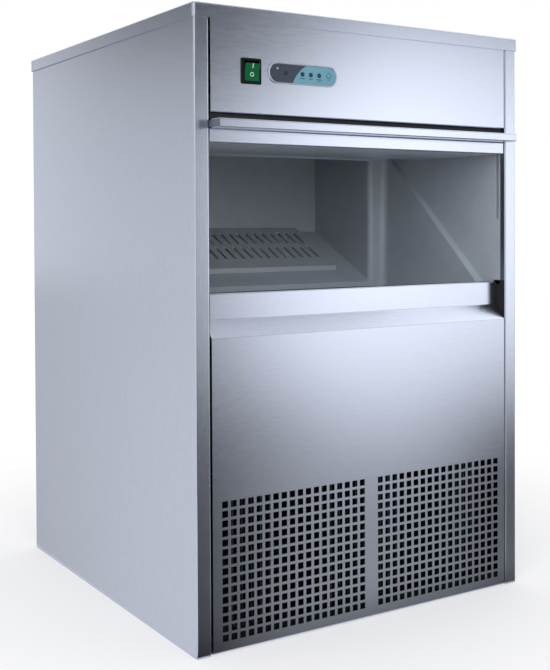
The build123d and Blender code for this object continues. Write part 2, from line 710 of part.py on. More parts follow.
def track_cut(x0, x1):
    """Groove that the door pins run in: an upright slot that joins a level one."""
    half = TRACK_SLOT / 2
    rear = PIVOT_Y + ROLLER_R + TRACK_END - half
    level = block(x0, x1, TRACK_Y - half, rear, TRACK_Z - half, TRACK_Z + half)
    up = block(x0, x1, TRACK_Y - half, TRACK_Y + half, SLOT_LOW + half, TRACK_Z)
    return level + rod_x(x0, x1, rear, TRACK_Z, half) + up + rod_x(x0, x1, TRACK_Y, SLOT_LOW + half, half)


def door_track():
    """Right-hand track outside the liner wall, moulded with a bent groove."""
    x0 = RECESS_HALF + WALL + GAP
    x1 = x0 + TRACK_DEPTH + TRACK_BACK
    half, edge = TRACK_SLOT / 2, TRACK_SLOT / 2 + TRACK_EDGE
    front = TRACK_Y - half - TRACK_LIP
    level = block(x0, x1, front, PIVOT_Y + edge, TRACK_Z - edge, TRACK_Z + edge)
    up = block(x0, x1, front, TRACK_Y + edge, SLOT_LOW - TRACK_EDGE, TRACK_Z)
    return level + up - track_cut(x0 - PAST, x1 - TRACK_BACK)


def liner_hollow(grow):
    """Inside of the bin, the door recess and the alcove as one solid, grown outwards by grow."""
    low = Plane.XY.offset(BIN_FLOOR - grow) * Pos(0, (BIN_FRONT_LOW + BIN_BACK) / 2) * Rectangle(
        2 * (BIN_HALF_LOW + grow), BIN_BACK - BIN_FRONT_LOW + 2 * grow)
    high = Plane.XY.offset(BIN_ROOF + grow) * Pos(0, (BIN_FRONT_TOP + BIN_BACK) / 2) * Rectangle(
        2 * (BIN_HALF_TOP + grow), BIN_BACK - BIN_FRONT_TOP + 2 * grow)
    bin_space = loft(Sketch() + [low, high])
    corners = bin_space.edges().filter_by(lambda e: e.length > BIN_ROOF - BIN_FLOOR)
    bin_space = fillet(corners, BIN_CORNER + grow)
    foot = SILL_TOP - SHEET - GAP
    slant = grow * (hypot(1, (LEDGE_HEAD - LEDGE_FOOT) / (LEDGE_TOP - foot)) - 1)
    recess = across([(LINER_FRONT, foot - grow), (LEDGE_FOOT + slant, foot - grow),
                     (LEDGE_HEAD + grow, LEDGE_TOP - slant), (LEDGE_HEAD + grow, RECESS_TOP + grow),
                     (LINER_FRONT, RECESS_TOP + grow)], -RECESS_HALF - grow, RECESS_HALF + grow)
    front, back, turn = ALCOVE_FRONT - grow, ALCOVE_BACK + grow, BIN_BACK + COLUMN_ROUND
    alcove = across(floor_section(front, back, ALCOVE_TOP, grow), ALCOVE_LEFT - grow, ALCOVE_RIGHT + grow)
    flare = across(floor_section(front, turn, BIN_ROOF + grow, grow),
                   ALCOVE_RIGHT, ALCOVE_RIGHT + COLUMN_ROUND)
    flare -= rod_z(ALCOVE_RIGHT + COLUMN_ROUND, turn, BIN_FLOOR, ALCOVE_TOP, COLUMN_ROUND - grow)
    return bin_space + recess + alcove + flare


def floor_section(front, back, top, grow):
    """Section over the sloping alcove floor."""
    drop = grow / cos(radians(FLOOR_ANGLE))
    return [(front, floor_z(front) - drop), (back, floor_z(back) - drop), (back, top), (front, top)]


def bin_liner():
    """Moulded liner: drafted bin, diagonal ledges for the door, guide slots and the alcove."""
    shell = liner_hollow(WALL) - liner_hollow(0)
    shell -= block(-RECESS_HALF, RECESS_HALF, 0, RECESS_DEPTH + SHEET + GAP, 0, SILL_TOP)
    for side in (-1, 1):
        x0, x1 = sorted((side * (RECESS_HALF - PAST), side * (RECESS_HALF + WALL + PAST)))
        shell -= track_cut(x0, x1)
    back = ALCOVE_BACK - DRAIN_RIM
    return shell - block(SLIDE_LEFT + DRAIN_RIM, SLIDE_RIGHT - DRAIN_RIM, SLIDE_LIP + DRAIN_RIM, back,
                         FLOOR_FRONT, floor_z(back) + PAST)


def ice_slide():
    """Slotted tray on the alcove floor: ice slides off its lip and the water falls through."""
    back = ALCOVE_BACK - PAST
    skin = SLIDE_SHEET / cos(radians(FLOOR_ANGLE))
    outer = across([(SLIDE_LIP, floor_z(SLIDE_LIP) + GAP), (back, floor_z(back) + GAP), (back, slide_z(back)),
                    (SLIDE_LIP, slide_z(SLIDE_LIP))], SLIDE_LEFT, SLIDE_RIGHT)
    lip_in, back_in = SLIDE_LIP + SLIDE_SHEET, back - SLIDE_SHEET
    inner = across([(lip_in, floor_z(lip_in) - PAST), (back_in, floor_z(back_in) - PAST),
                    (back_in, slide_z(back_in) - skin), (lip_in, slide_z(lip_in) - skin)],
                   SLIDE_LEFT + SLIDE_SHEET, SLIDE_RIGHT - SLIDE_SHEET)
    slots = []
    for y0, y1 in SLIDE_ROWS:
        for i in range(SLIDE_SLOTS):
            x = SLIDE_LEFT + SLIDE_END + i * SLIDE_PITCH
            slots.append(block(x - SLIDE_SLOT / 2, x + SLIDE_SLOT / 2, y0, y1, floor_z(y0), slide_z(y1)))
    return outer - inner - slots


def foam_side():
    """Right-hand insulating board between the liner and the side panel."""
    board = block(BIN_HALF_TOP + WALL + GAP, INSIDE_HALF - GAP, LINER_FRONT + TRACK_EDGE + TRACK_SLOT,
                  BIN_BACK + WALL, DECK_TOP + GAP, RECESS_TOP)
    edge = TRACK_SLOT / 2 + TRACK_EDGE + GAP
    track = block(RECESS_HALF, RECESS_HALF + WALL + TRACK_DEPTH + TRACK_BACK + 2 * GAP, 0, PIVOT_Y + edge,
                  SLOT_LOW - TRACK_EDGE - GAP, RECESS_TOP + PAST)
    return board - liner_hollow(WALL + GAP) - track


def foam_front():
    """Insulating board between the bin and the front panel."""
    front, rear = RECESS_DEPTH + SHEET + GAP, BIN_FRONT_LOW - WALL - 2 * GAP
    low, high = DECK_TOP + GAP, SILL_TOP - SHEET - WALL - 3 * GAP
    share = (high - BIN_FLOOR + WALL) / (BIN_ROOF - BIN_FLOOR + 2 * WALL)
    lean = (BIN_FRONT_LOW - BIN_FRONT_TOP) * share
    return across([(front, low), (front, high), (rear - lean, high), (rear, BIN_FLOOR - WALL), (rear, low)],
                  -BIN_HALF_TOP, BIN_HALF_TOP)


def foam_bottom():
    """Insulating board under the bin, holed for the drain."""
    top = BIN_FLOOR - WALL - GAP
    board = block(-BIN_HALF_TOP, BIN_HALF_TOP, BIN_FRONT_LOW, BIN_BACK, DECK_TOP + GAP, top)
    return board - rod_z(DRAIN_X, DRAIN_Y, DECK_Z, top + PAST, DRAIN_R + DRAIN_ROOM)


def foam_back():
    """Insulating board behind the bin, under the alcove."""
    front = BIN_BACK + WALL + GAP
    top = floor_z(front) - 2 * WALL
    return block(-BIN_HALF_TOP, BIN_HALF_TOP, front, TANK_FRONT - GAP, DECK_TOP + GAP, top)


def flanged_shelf(y0, y1, z):
    """Sheet shelf from side to side with a flange down each end."""
    shelf = block(-INSIDE_HALF, INSIDE_HALF, y0, y1, z, z + SHEET)
    ends = (-INSIDE_HALF, INSIDE_HALF - SHEET)
    return shelf + [block(x, x + SHEET, y0, y1, z - SHELF_FLANGE, z) for x in ends]


def bin_deck():
    """Deck that carries the bin over the compressor space."""
    deck = flanged_shelf(RECESS_DEPTH, TANK_FRONT, DECK_Z)
    return deck - rod_z(DRAIN_X, DRAIN_Y, DECK_Z - PAST, DECK_TOP + PAST, DRAIN_R + DRAIN_ROOM)


def rear_shelf():
    """Shelf behind the bin that carries the water tank and the valve gear."""
    shelf = flanged_shelf(TANK_FRONT, BACK_INSIDE, SHELF_Z)
    return shelf - block(DOWN_X - HATCH, DOWN_X + HATCH, DOWN_Y - HATCH, DOWN_Y + HATCH, SHELF_Z - PAST,
                         SHELF_Z + SHEET + PAST)


def back_panel():
    """Rear panel with vent slots and holes for the services."""
    low, high, y = PANEL_FOOT, HEIGHT - BACK_TOP, DEPTH - SHEET
    outline = rectangle_wire(0, (low + high) / 2, 2 * (HALF - BACK_MARGIN), high - low, y)
    holes = [rectangle_wire(column * VENT_STEP, VENT_LOW + row * VENT_PITCH, VENT_W, VENT_H, y)
             for column in (-1, 0, 1) for row in range(VENT_ROWS)]
    for x, z, r in ((INLET_X, INLET_Z, INLET_R), (DRAIN_X, DRAIN_Z, DRAIN_R), (GLAND_X, GLAND_Z, GLAND_R)):
        holes.append(circle_wire(x, z, r + GAP, y))
    return pierced_plate(outline, holes, SHEET)


def flanged_stub(x, z, y0, y1, r, bore):
    """Tube through the rear panel: thinner neck, flange against the inside, full size where a hose goes on."""
    stub = rod_y(x, y0, DEPTH + NECK_OUT, z, r - NECK) + rod_y(x, DEPTH + NECK_OUT, y1, z, r)
    stub += rod_y(x, DEPTH - SHEET - FLANGE_THICK, DEPTH - SHEET, z, r + FLANGE)
    return stub - rod_y(x, y0, y1, z, bore)


def water_inlet():
    """Threaded inlet stub."""
    return flanged_stub(INLET_X, INLET_Z, BACK_INSIDE - INLET_IN, DEPTH + INLET_OUT, INLET_R, INLET_BORE)


def drain_spigot():
    """Drain stub."""
    return flanged_stub(DRAIN_X, DRAIN_Z, BACK_INSIDE - SPIGOT_IN, DEPTH + SPIGOT_OUT, DRAIN_R, DRAIN_BORE)


def inlet_valve():
    """Solenoid valve on the inlet: body, coil, outlet stub and foot."""
    rear = BACK_INSIDE - INLET_IN - GAP
    middle = rear - VALVE_DEPTH / 2
    body = block(INLET_X - VALVE, INLET_X + VALVE, rear - VALVE_DEPTH, rear, INLET_Z - VALVE, INLET_Z + VALVE)
    body += rod_z(INLET_X, middle, INLET_Z + VALVE, INLET_Z + VALVE + COIL_H, COIL_R)
    body += rod_x(INLET_X - VALVE - VALVE_SPOUT_OUT, INLET_X - VALVE, middle, INLET_Z, VALVE_SPOUT_R)
    return body + block(INLET_X - VALVE_FOOT, INLET_X + VALVE_FOOT, middle - VALVE_FOOT, middle + VALVE_FOOT,
                        SHELF_Z + SHEET, INLET_Z - VALVE)


def drain_hose():
    """Hose from the bin floor to the drain stub."""
    return bent_pipe([(DRAIN_X, DRAIN_Y, BIN_FLOOR - WALL - GAP), (DRAIN_X, DRAIN_Y, DRAIN_Z),
                      (DRAIN_X, BACK_INSIDE - SPIGOT_IN - GAP, DRAIN_Z)], DRAIN_R, DRAIN_BEND)


def cord_gland():
    """Gland for the mains lead, empty, with a nut on each side of the panel."""
    inside, outside = DEPTH - SHEET - GLAND_INSIDE, DEPTH + GLAND_OUT
    body = rod_y(GLAND_X, inside, outside, GLAND_Z, GLAND_R)
    nuts = [rod_y(GLAND_X, DEPTH, DEPTH + GLAND_INSIDE / 2, GLAND_Z, GLAND_R + GLAND_NUT, 6),
            rod_y(GLAND_X, DEPTH - SHEET - GLAND_INSIDE / 2, DEPTH - SHEET, GLAND_Z, GLAND_R + GLAND_NUT, 6)]
    return body + nuts - rod_y(GLAND_X, inside - PAST, outside + PAST, GLAND_Z, GLAND_BORE)


def bin_ceiling():
    """Sheet over the bin that closes off the control space."""
    low = RECESS_TOP + WALL + GAP
    return block(-PANEL_HALF, PANEL_HALF, CONTROL_RETURN + PANEL_GAP, LEDGE_HEAD, low, low + SHEET)


def foot_points():
    """Middles of the compressor's four feet."""
    steps = (-FOOT_PITCH, FOOT_PITCH)
    return [(COMPRESSOR_X + dx, COMPRESSOR_Y + dy) for dx in steps for dy in steps]


def compressor():
    """Hermetic compressor: domed can on a foot plate."""
    r, low, top = COMPRESSOR_R, COMPRESSOR_Z, COMPRESSOR_TOP
    profile = Polyline((0, low), (r * BASE_SHARE, low), (r, low + BASE_RISE), (r, top - SHOULDER_DROP),
                       (r * SHOULDER_SHARE, top - CROWN_DROP), (r * CROWN_SHARE, top), (0, top), close=True)
    can = Pos(COMPRESSOR_X, COMPRESSOR_Y, 0) * revolve(Plane.XZ * make_face(profile), Axis.Z)
    edge = FOOT_PITCH + FOOT_EDGE
    plate = block(COMPRESSOR_X - edge, COMPRESSOR_X + edge, COMPRESSOR_Y - edge, COMPRESSOR_Y + edge,
                  low + PAST - PLATE_THICK, low + PAST)
    holes = [rod_z(x, y, low - PLATE_THICK, low + PLATE_THICK, GROMMET_NECK + GAP) for x, y in foot_points()]
    return can + plate - holes


def compressor_feet():
    """Rubber grommets under the compressor plate, each with a neck through it."""
    shoulder, top = COMPRESSOR_Z + PAST - PLATE_THICK, COMPRESSOR_Z + PLATE_THICK
    return Compound([rod_z(x, y, PAN_SHEET, shoulder, GROMMET_R, 12)
                     + rod_z(x, y, shoulder, top, GROMMET_NECK, 12) for x, y in foot_points()])


def condenser():
    """Finned block behind the grilles: a comb of plate fins on a back web, open to the fan."""
    front, back = CONDENSER_Y, CONDENSER_BACK
    web = block(-CONDENSER_HALF, CONDENSER_HALF, back - CONDENSER_WEB, back, CONDENSER_LOW, CONDENSER_TOP)
    fins = []
    for i in range(FIN_COUNT):
        x = -CONDENSER_HALF + FIN_END + i * FIN_PITCH
        fins.append(block(x - FIN_THICK / 2, x + FIN_THICK / 2, front, back - CONDENSER_WEB, CONDENSER_LOW,
                          CONDENSER_TOP))
    ends = [block(x, x + END_PLATE, front, back, PAN_SHEET, CONDENSER_TOP)
            for x in (-CONDENSER_HALF, CONDENSER_HALF - END_PLATE)]
    window = rod_y(FAN_X, back - CONDENSER_WEB - PAST, back + PAST, FAN_Z, FAN_R)
    return web - window + fins + ends


def fan_shroud():
    """Square shroud with a round throat behind the condenser, with the motor arm."""
    front, back, half = CONDENSER_BACK + GAP, FAN_Y + SHROUD_BACK, FAN_R + SHROUD_EDGE
    frame = block(FAN_X - half, FAN_X + half, front, back, FAN_Z - half, FAN_Z + half)
    frame -= rod_y(FAN_X, front - PAST, back + PAST, FAN_Z, FAN_R)
    arm = block(FAN_X - half, FAN_X + half, back, back + ARM_THICK, FAN_Z - ARM_HALF, FAN_Z + ARM_HALF)
    return frame + arm - rod_y(FAN_X, back - PAST, back + ARM_THICK + PAST, FAN_Z, 2 * SHAFT_R)


def fan_motor():
    """Motor on the shroud arm, bored for the shaft."""
    front = FAN_Y + SHROUD_BACK + ARM_THICK
    can = rod_y(FAN_X, front, front + MOTOR_H, FAN_Z, MOTOR_R)
    return can - rod_y(FAN_X, front - PAST, front + MOTOR_BORE, FAN_Z, SHAFT_R + RUN)


def fan_blade():
    """Fan wheel: hub, shaft and twisted blades."""
    wheel = rod_y(FAN_X, FAN_Y - HUB_HALF, FAN_Y + HUB_HALF, FAN_Z, HUB_R)
    wheel += rod_y(FAN_X, FAN_Y + HUB_HALF, FAN_Y + SHAFT_REACH, FAN_Z, SHAFT_R)
    tip_r = FAN_R - FAN_TIP
    root = Plane.XY.offset(HUB_R - ROOT_THICK) * Rot(0, 0, ROOT_ANGLE) * Rectangle(ROOT_THICK, ROOT_CHORD)
    tip = Plane.XY.offset(tip_r + FAN_TIP) * Rot(0, 0, TIP_ANGLE) * Rectangle(TIP_THICK, TIP_CHORD)
    blade = Pos(FAN_X, FAN_Y, FAN_Z) * loft(Sketch() + [root, tip])
    blade &= rod_y(FAN_X, FAN_Y - HUB_HALF, FAN_Y + HUB_HALF, FAN_Z, tip_r)
    axis = Axis((FAN_X, FAN_Y, FAN_Z), (0, 1, 0))
    return wheel + [blade.rotate(axis, i * 360 / BLADES) for i in range(BLADES)]


def ice_unit_frame():
    """Bent frame that stands on the alcove rim and carries the evaporator and the tray."""
    left, right = ALCOVE_LEFT - WALL, ALCOVE_RIGHT + WALL
    front, back = ALCOVE_FRONT + FRAME_FRONT, ALCOVE_BACK - FRAME_BACK
    frame = block(left, right, front, back, UNIT_TOP - FRAME_SHEET, UNIT_TOP)
    frame += [block(x, x + FRAME_SHEET, front, back, ALCOVE_TOP + GAP, UNIT_TOP)
              for x in (left, right - FRAME_SHEET)]
    return frame - rod_x(left - PAST, right + PAST, TRAY_PIVOT_Y, TRAY_PIVOT_Z, TRAY_PIN + RUN)


def finger_xs():
    """Places of the evaporator fingers along the machine."""
    return [TRAY_LEFT + FINGER_END + i * FINGER_PITCH for i in range(FINGER_COUNT)]


def evaporator():
    """Cold pipe in a U with a row of fingers under each leg; pipe and fingers have eight flats."""
    xs = finger_xs()
    x0, x1 = xs[0] - PIPE_END, xs[-1] + PIPE_END
    body = block(x0 - PIPE_R, x0 + PIPE_R, PIPE_ROWS[0], PIPE_ROWS[1], PIPE_Z - PIPE_R, PIPE_Z + PIPE_R)
    for y in PIPE_ROWS:
        body += rod_x(x0, x1, y, PIPE_Z, PIPE_R, 8)
        body += [rod_z(x, y, FINGER_LOW, PIPE_Z, FINGER_R, 8) for x in xs]
    return body


def evaporator_clamps():
    """Hangers from the frame down to the cold pipe."""
    xs = finger_xs()
    front, rear = PIPE_ROWS[0] - CLAMP_EDGE, PIPE_ROWS[1] + CLAMP_EDGE
    return Compound([block(x - CLAMP_HALF, x + CLAMP_HALF, front, rear, PIPE_Z + PIPE_R + GAP,
                           UNIT_TOP - FRAME_SHEET)
                     for x in (xs[2] + FINGER_PITCH / 2, xs[-3] - FINGER_PITCH / 2)])


def water_tray():
    """Trough that holds water round the fingers and tips back on its two pins."""
    tray = block(TRAY_LEFT, TRAY_RIGHT, TRAY_FRONT, TRAY_BACK, TRAY_LOW, TRAY_TOP)
    tray = fillet(tray.edges().filter_by(Axis.X).group_by(Axis.Z)[0], TRAY_ROUND)
    tray -= block(TRAY_LEFT + TRAY_WALL, TRAY_RIGHT - TRAY_WALL,
                  TRAY_FRONT + TRAY_WALL, TRAY_BACK - TRAY_WALL, TRAY_LOW + TRAY_FLOOR, TRAY_TOP + PAST)
    ear = [(TRAY_BACK - EAR_REACH, TRAY_TOP - TRAY_PIN), (TRAY_BACK, TRAY_LOW + TRAY_H / 2),
           (TRAY_PIVOT_Y + EAR, TRAY_PIVOT_Z), (TRAY_PIVOT_Y, TRAY_PIVOT_Z + EAR),
           (TRAY_PIVOT_Y - EAR, TRAY_PIVOT_Z + EAR)]
    for x0, x1, end in ((TRAY_LEFT, TRAY_LEFT + TRAY_WALL, ALCOVE_LEFT - WALL - MOTOR_SOCKET + PAST),
                        (TRAY_RIGHT - TRAY_WALL, TRAY_RIGHT, ALCOVE_RIGHT + WALL + FRAME_SHEET)):
        tray += across(ear, x0, x1)
        tray += rod_x(x0, end, TRAY_PIVOT_Y, TRAY_PIVOT_Z, TRAY_PIN)
    return tray


def tray_motor():
    """Geared motor that tips the tray, on the outside of the frame."""
    inner = ALCOVE_LEFT - WALL - GAP
    box = block(inner - MOTOR_BOX, inner, TRAY_PIVOT_Y - MOTOR_BOX_HALF, TRAY_PIVOT_Y + MOTOR_BOX_HALF,
                TRAY_PIVOT_Z - MOTOR_BOX_LOW, TRAY_PIVOT_Z + MOTOR_BOX_HALF)
    return box - rod_x(inner - MOTOR_SOCKET, inner + PAST, TRAY_PIVOT_Y, TRAY_PIVOT_Z, TRAY_PIN + RUN)


def water_tank():
    """Open tank under the ice slide, its top cut to the slope of the alcove floor."""
    drop = (WALL + GAP) / cos(radians(FLOOR_ANGLE)) + GAP
    outer = across([(TANK_FRONT, TANK_FLOOR), (TANK_BACK, TANK_FLOOR), (TANK_BACK, floor_z(TANK_BACK) - drop),
                    (TANK_FRONT, floor_z(TANK_FRONT) - drop)], TANK_LEFT, TANK_RIGHT)
    return outer - block(TANK_LEFT + TANK_WALL, TANK_RIGHT - TANK_WALL, TANK_FRONT + TANK_WALL,
                         TANK_BACK - TANK_WALL, TANK_INSIDE, floor_z(TANK_BACK))


def pump():
    """Small pump standing in the tank: round foot, motor and spout."""
    foot = TANK_INSIDE + PUMP_FOOT
    body = rod_z(PUMP_X, PUMP_Y, TANK_INSIDE, foot, PUMP_R + TANK_WALL)
    body += rod_z(PUMP_X, PUMP_Y, foot, TANK_INSIDE + PUMP_H, PUMP_R)
    return body + rod_x(PUMP_X - PUMP_R - SPOUT_OUT, PUMP_X, PUMP_Y, TANK_INSIDE + PUMP_FOOT / 2, SPOUT_R)


def float_stem():
    """Stem of the level switch, standing in the tank with a foot and a stop collar."""
    top = TANK_INSIDE + STEM_H
    stem = rod_z(FLOAT_X, FLOAT_Y, TANK_INSIDE, top, STEM_R)
    stem += rod_z(FLOAT_X, FLOAT_Y, TANK_INSIDE, TANK_INSIDE + STEM_FOOT, 2 * STEM_R)
    return stem + rod_z(FLOAT_X, FLOAT_Y, top - STEM_STOP, top, 2 * STEM_R)


def float_ring():
    """Float that slides on the stem between its collars."""
    low = TANK_INSIDE + STEM_FOOT + RUN
    ring = rod_z(FLOAT_X, FLOAT_Y, low, low + FLOAT_H, FLOAT_R)
    return ring - rod_z(FLOAT_X, FLOAT_Y, low - PAST, low + FLOAT_H + PAST, STEM_R + 2 * RUN)


def control_box():
    """Electrical box at the rear right, beside the frame."""
    box = block(ALCOVE_RIGHT + WALL + BOX_GAP, INSIDE_HALF - GAP, BOX_FRONT, BOX_FRONT + BOX_DEPTH,
                UNIT_TOP - BOX_H, UNIT_TOP)
    return fillet(box.edges().filter_by(Axis.Y), BOX_ROUND)


def filter_drier():
    """Drier can lying on the base pan between its pipe ends."""
    z, end = PAN_SHEET + GAP + DRIER_R, DRIER_Y + DRIER_L
    can = rod_y(DRIER_X, DRIER_Y, end, z, DRIER_R, 12)
    return can + rod_y(DRIER_X, DRIER_Y - DRIER_STUB, end + DRIER_STUB, z, DRIER_STUB_R, 8)


def discharge_pipe():
    """Hot pipe from the compressor to the condenser."""
    x, top = COMPRESSOR_X - HOT_X, COMPRESSOR_TOP + GAP
    run, inlet = top + HOT_RISE, top - HOT_DROP
    return bent_pipe([(x, COMPRESSOR_Y, top), (x, COMPRESSOR_Y, run), (x, HOT_Y, run), (x, HOT_Y, inlet),
                      (x, CONDENSER_BACK + GAP, inlet)], HOT_R, HOT_BEND)


def suction_pipe():
    """Cold pipe from the evaporator over the alcove and down to the compressor."""
    x, y, top = COMPRESSOR_X + COLD_X, COMPRESSOR_Y + COLD_Y, COMPRESSOR_TOP + GAP
    rise, run = ALCOVE_RIGHT - COLD_SIDE, PIPE_Z + COLD_UP
    rear, low = ALCOVE_BACK + COLD_REAR, top + COLD_RISE
    return bent_pipe([(finger_xs()[-1] + PIPE_END + GAP, PIPE_ROWS[1], PIPE_Z), (rise, PIPE_ROWS[1], PIPE_Z),
                      (rise, PIPE_ROWS[1], run), (rise, rear, run), (DOWN_X, rear, run), (DOWN_X, DOWN_Y, run),
                      (DOWN_X, DOWN_Y, low), (x, DOWN_Y, low), (x, y, low), (x, y, top)],
                     COLD_R, COLD_BEND)


def save(node, part):
    """Write one piece with the origin in the middle of the base."""
    export_step(Pos(0, -DEPTH / 2, 0) * part, f"parts/{node}.step")


side, cheek, track, foam = folded_side(), door_cheek(), door_track(), foam_side()
NODES = {
    "base_pan": base_pan(),
    "leg_nuts": leg_nuts(),
    "side_panel_left": side,
    "side_panel_right": mirrored(side),
    "back_panel": back_panel(),
    "top_lid": top_lid(),
    "front_panel": front_panel(),
    "control_panel": control_panel(),
    "switch_housing": switch_housing(),
    "power_rocker": power_rocker(),
    "display_bezel": display_bezel(),
    "display_overlay": display_overlay(),
    "indicator_lamps": indicator_lamps(),
    "display_board": display_board(),
    "door_skin": door_skin(),
    "door_liner": door_liner(),
    "door_core": door_core(),
    "door_cheek_left": mirrored(cheek),
    "door_cheek_right": cheek,
    "door_pivot_rod": door_pivot_rod(),
    "door_rollers": door_rollers(),
    "door_track_left": mirrored(track),
    "door_track_right": track,
    "bin_liner": bin_liner(),
    "bin_ceiling": bin_ceiling(),
    "ice_slide": ice_slide(),
    "foam_left": mirrored(foam),
    "foam_right": foam,
    "foam_front": foam_front(),
    "foam_bottom": foam_bottom(),
    "foam_back": foam_back(),
    "bin_deck": bin_deck(),
    "rear_shelf": rear_shelf(),
    "water_tank": water_tank(),
    "pump": pump(),
    "float_stem": float_stem(),
    "float_ring": float_ring(),
    "water_inlet": water_inlet(),
    "inlet_valve": inlet_valve(),
    "drain_spigot": drain_spigot(),
    "drain_hose": drain_hose(),
    "cord_gland": cord_gland(),
    "compressor": compressor(),
    "compressor_feet": compressor_feet(),
    "condenser": condenser(),
    "fan_shroud": fan_shroud(),
    "fan_motor": fan_motor(),
    "fan_blade": fan_blade(),
    "ice_unit_frame": ice_unit_frame(),
    "evaporator": evaporator(),
    "evaporator_clamps": evaporator_clamps(),
    "water_tray": water_tray(),
    "tray_motor": tray_motor(),
    "control_box": control_box(),
    "filter_drier": filter_drier(),
    "discharge_pipe": discharge_pipe(),
    "suction_pipe": suction_pipe(),
}
for name, shape in NODES.items():
    save(name, shape)
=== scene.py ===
import json
import math

import bmesh
import bpy
from bpy.props import FloatProperty, FloatVectorProperty, IntProperty, PointerProperty
from mathutils import Matrix, Vector


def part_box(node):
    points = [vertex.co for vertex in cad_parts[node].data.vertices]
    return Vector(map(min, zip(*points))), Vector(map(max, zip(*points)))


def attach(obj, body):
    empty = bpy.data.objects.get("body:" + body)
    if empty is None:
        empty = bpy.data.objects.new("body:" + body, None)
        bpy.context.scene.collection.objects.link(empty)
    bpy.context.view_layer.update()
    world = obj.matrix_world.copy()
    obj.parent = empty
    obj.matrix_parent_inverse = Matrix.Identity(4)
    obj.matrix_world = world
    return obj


bl_info = {
    "name": "Ice cube machine finishes",
    "version": (1, 0, 0),
    "blender": (4, 5, 0),
    "location": "View3D > Sidebar > Ice machine",
    "description": "Sheet metal, plastic and small pieces of a stainless ice cube machine",
    "category": "Object",
}

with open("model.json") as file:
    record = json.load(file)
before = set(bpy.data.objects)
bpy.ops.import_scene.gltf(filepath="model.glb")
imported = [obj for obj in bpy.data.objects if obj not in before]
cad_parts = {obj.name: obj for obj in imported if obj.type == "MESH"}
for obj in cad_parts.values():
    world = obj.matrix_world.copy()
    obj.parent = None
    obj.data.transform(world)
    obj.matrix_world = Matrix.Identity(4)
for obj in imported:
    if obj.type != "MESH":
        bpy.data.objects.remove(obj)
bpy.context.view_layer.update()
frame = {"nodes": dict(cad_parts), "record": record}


CAMERA = Vector((-0.83525, -1.3575, 0.49737))


def middle(node):
    """Middle of a node's box."""
    low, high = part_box(node)
    return (Vector(low) + Vector(high)) / 2


def size(node):
    """Width, depth and height of a node's box."""
    low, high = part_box(node)
    return Vector(high) - Vector(low)


def srgb(text):
    """Linear colour of an sRGB hex value."""
    channels = [int(text[i:i + 2], 16) / 255 for i in (1, 3, 5)]
    return tuple(c / 12.92 if c <= 0.04045 else ((c + 0.055) / 1.055) ** 2.4 for c in channels) + (1.0,)


def colour(name, text, about):
    """Colour property of a finish."""
    return FloatVectorProperty(name=name, description=about, default=srgb(text), size=4, min=0, max=1,
                               subtype="COLOR")


def length(name, default, about):
    """Length property in metres."""
    return FloatProperty(name=name, description=about, default=default, min=0.0, unit="LENGTH", precision=5)


class IceMachineColours(bpy.types.PropertyGroup):
    """Colours of the finishes"""
    stainless: colour("Stainless", "#C9D0DF", "Brushed cabinet sheet")
    stainless_dark: colour("Stainless streak", "#B6BDCF", "Darker brush streaks in the sheet")
    galvanised: colour("Galvanised", "#9EA3A8", "Zinc coated inner sheet")
    liner: colour("Liner", "#A0A8B1", "Vacuum formed grey bin liner")
    end_cap: colour("End cap", "#5B616C", "Moulded ends of the door")
    nylon: colour("Nylon", "#D9D8D2", "Rollers and float")
    # the foam's black is painted shade for the gaps where the insulation shows
    foam: colour("Foam", "#232425", "Insulation, darkened as painted shade")
    black: colour("Black plastic", "#060609", "Switch frame and shroud")
    rocker: colour("Rocker", "#04512F", "Green rocker of the power switch")
    mark: colour("Mark", "#E9F2EC", "White marks on the rocker")
    film_dark: colour("Film, dark field", "#303846", "Left field of the display film")
    film_light: colour("Film, light field", "#5C8B9B", "Right field of the display film")
    print_dark: colour("Print, dark", "#2C5464", "Marks on the light field")
    print_pale: colour("Print, pale", "#A9B4C2", "Marks on the dark field")
    lamp: colour("Lamp", "#0C3438", "Unlit green lamp lens")
    copper: colour("Copper", "#B8714A", "Refrigerant pipes and evaporator")
    brass: colour("Brass", "#C9A24E", "Water inlet")
    # this black also paints shade on the base pan behind the grille
    enamel: colour("Black enamel", "#17181A", "Compressor and fan motor; also the base pan's painted shade")


class IceMachineSizes(bpy.types.PropertyGroup):
    """Sizes of the small pieces and patterns"""
    brush: length("Brush pitch", 0.0006, "Spacing of the brush lines, drawn coarser than real so that they show")
    spangle: length("Zinc spangle", 0.009, "Width of one zinc crystal")
    mark_line: length("Mark line", 0.0006, "Stroke of the marks on the rocker")
    mark_height: length("Mark height", 0.0055, "Height of the bar on the rocker")
    bar_up: length("Bar place", 0.0074, "Middle of the bar above the rocker's ridge")
    ring_down: length("Ring place", 0.0028, "Middle of the ring below the rocker's ridge")
    # sizes of the shade strip: a dark strip that paints the shade on the front edge of the liner's roof
    shade_strip_thick: length("Shade strip thickness", 0.002, "Front to back")
    shade_strip_back: length("Shade strip set back", 0.004, "From the front plane")
    shade_strip_clear: length("Shade strip clearance", 0.0012, "Above the open door")
    shade_strip_end: length("Shade strip end", 0.001, "Short of each post")
    thread_pitch: length("Thread pitch", 0.0018, "Pitch of the inlet's pipe thread")
    thread_height: length("Thread height", 0.0009, "Height of the inlet's pipe thread")
    screw: length("Screw head", 0.0032, "Radius of a rear screw head")
    screw_sides: IntProperty(name="Screw sides", description="Facets round a screw head", default=20, min=8)


def add_node(tree, kind, settings=None, links=None):
    """Add a node with its settings, and link the named inputs to sockets."""
    node = tree.nodes.new(kind)
    for key, value in (settings or {}).items():
        if isinstance(key, int) or key in node.inputs:
            node.inputs[key].default_value = value
        else:
            setattr(node, key, value)
    for key, socket in (links or {}).items():
        tree.links.new(socket, node.inputs[key])
    return node


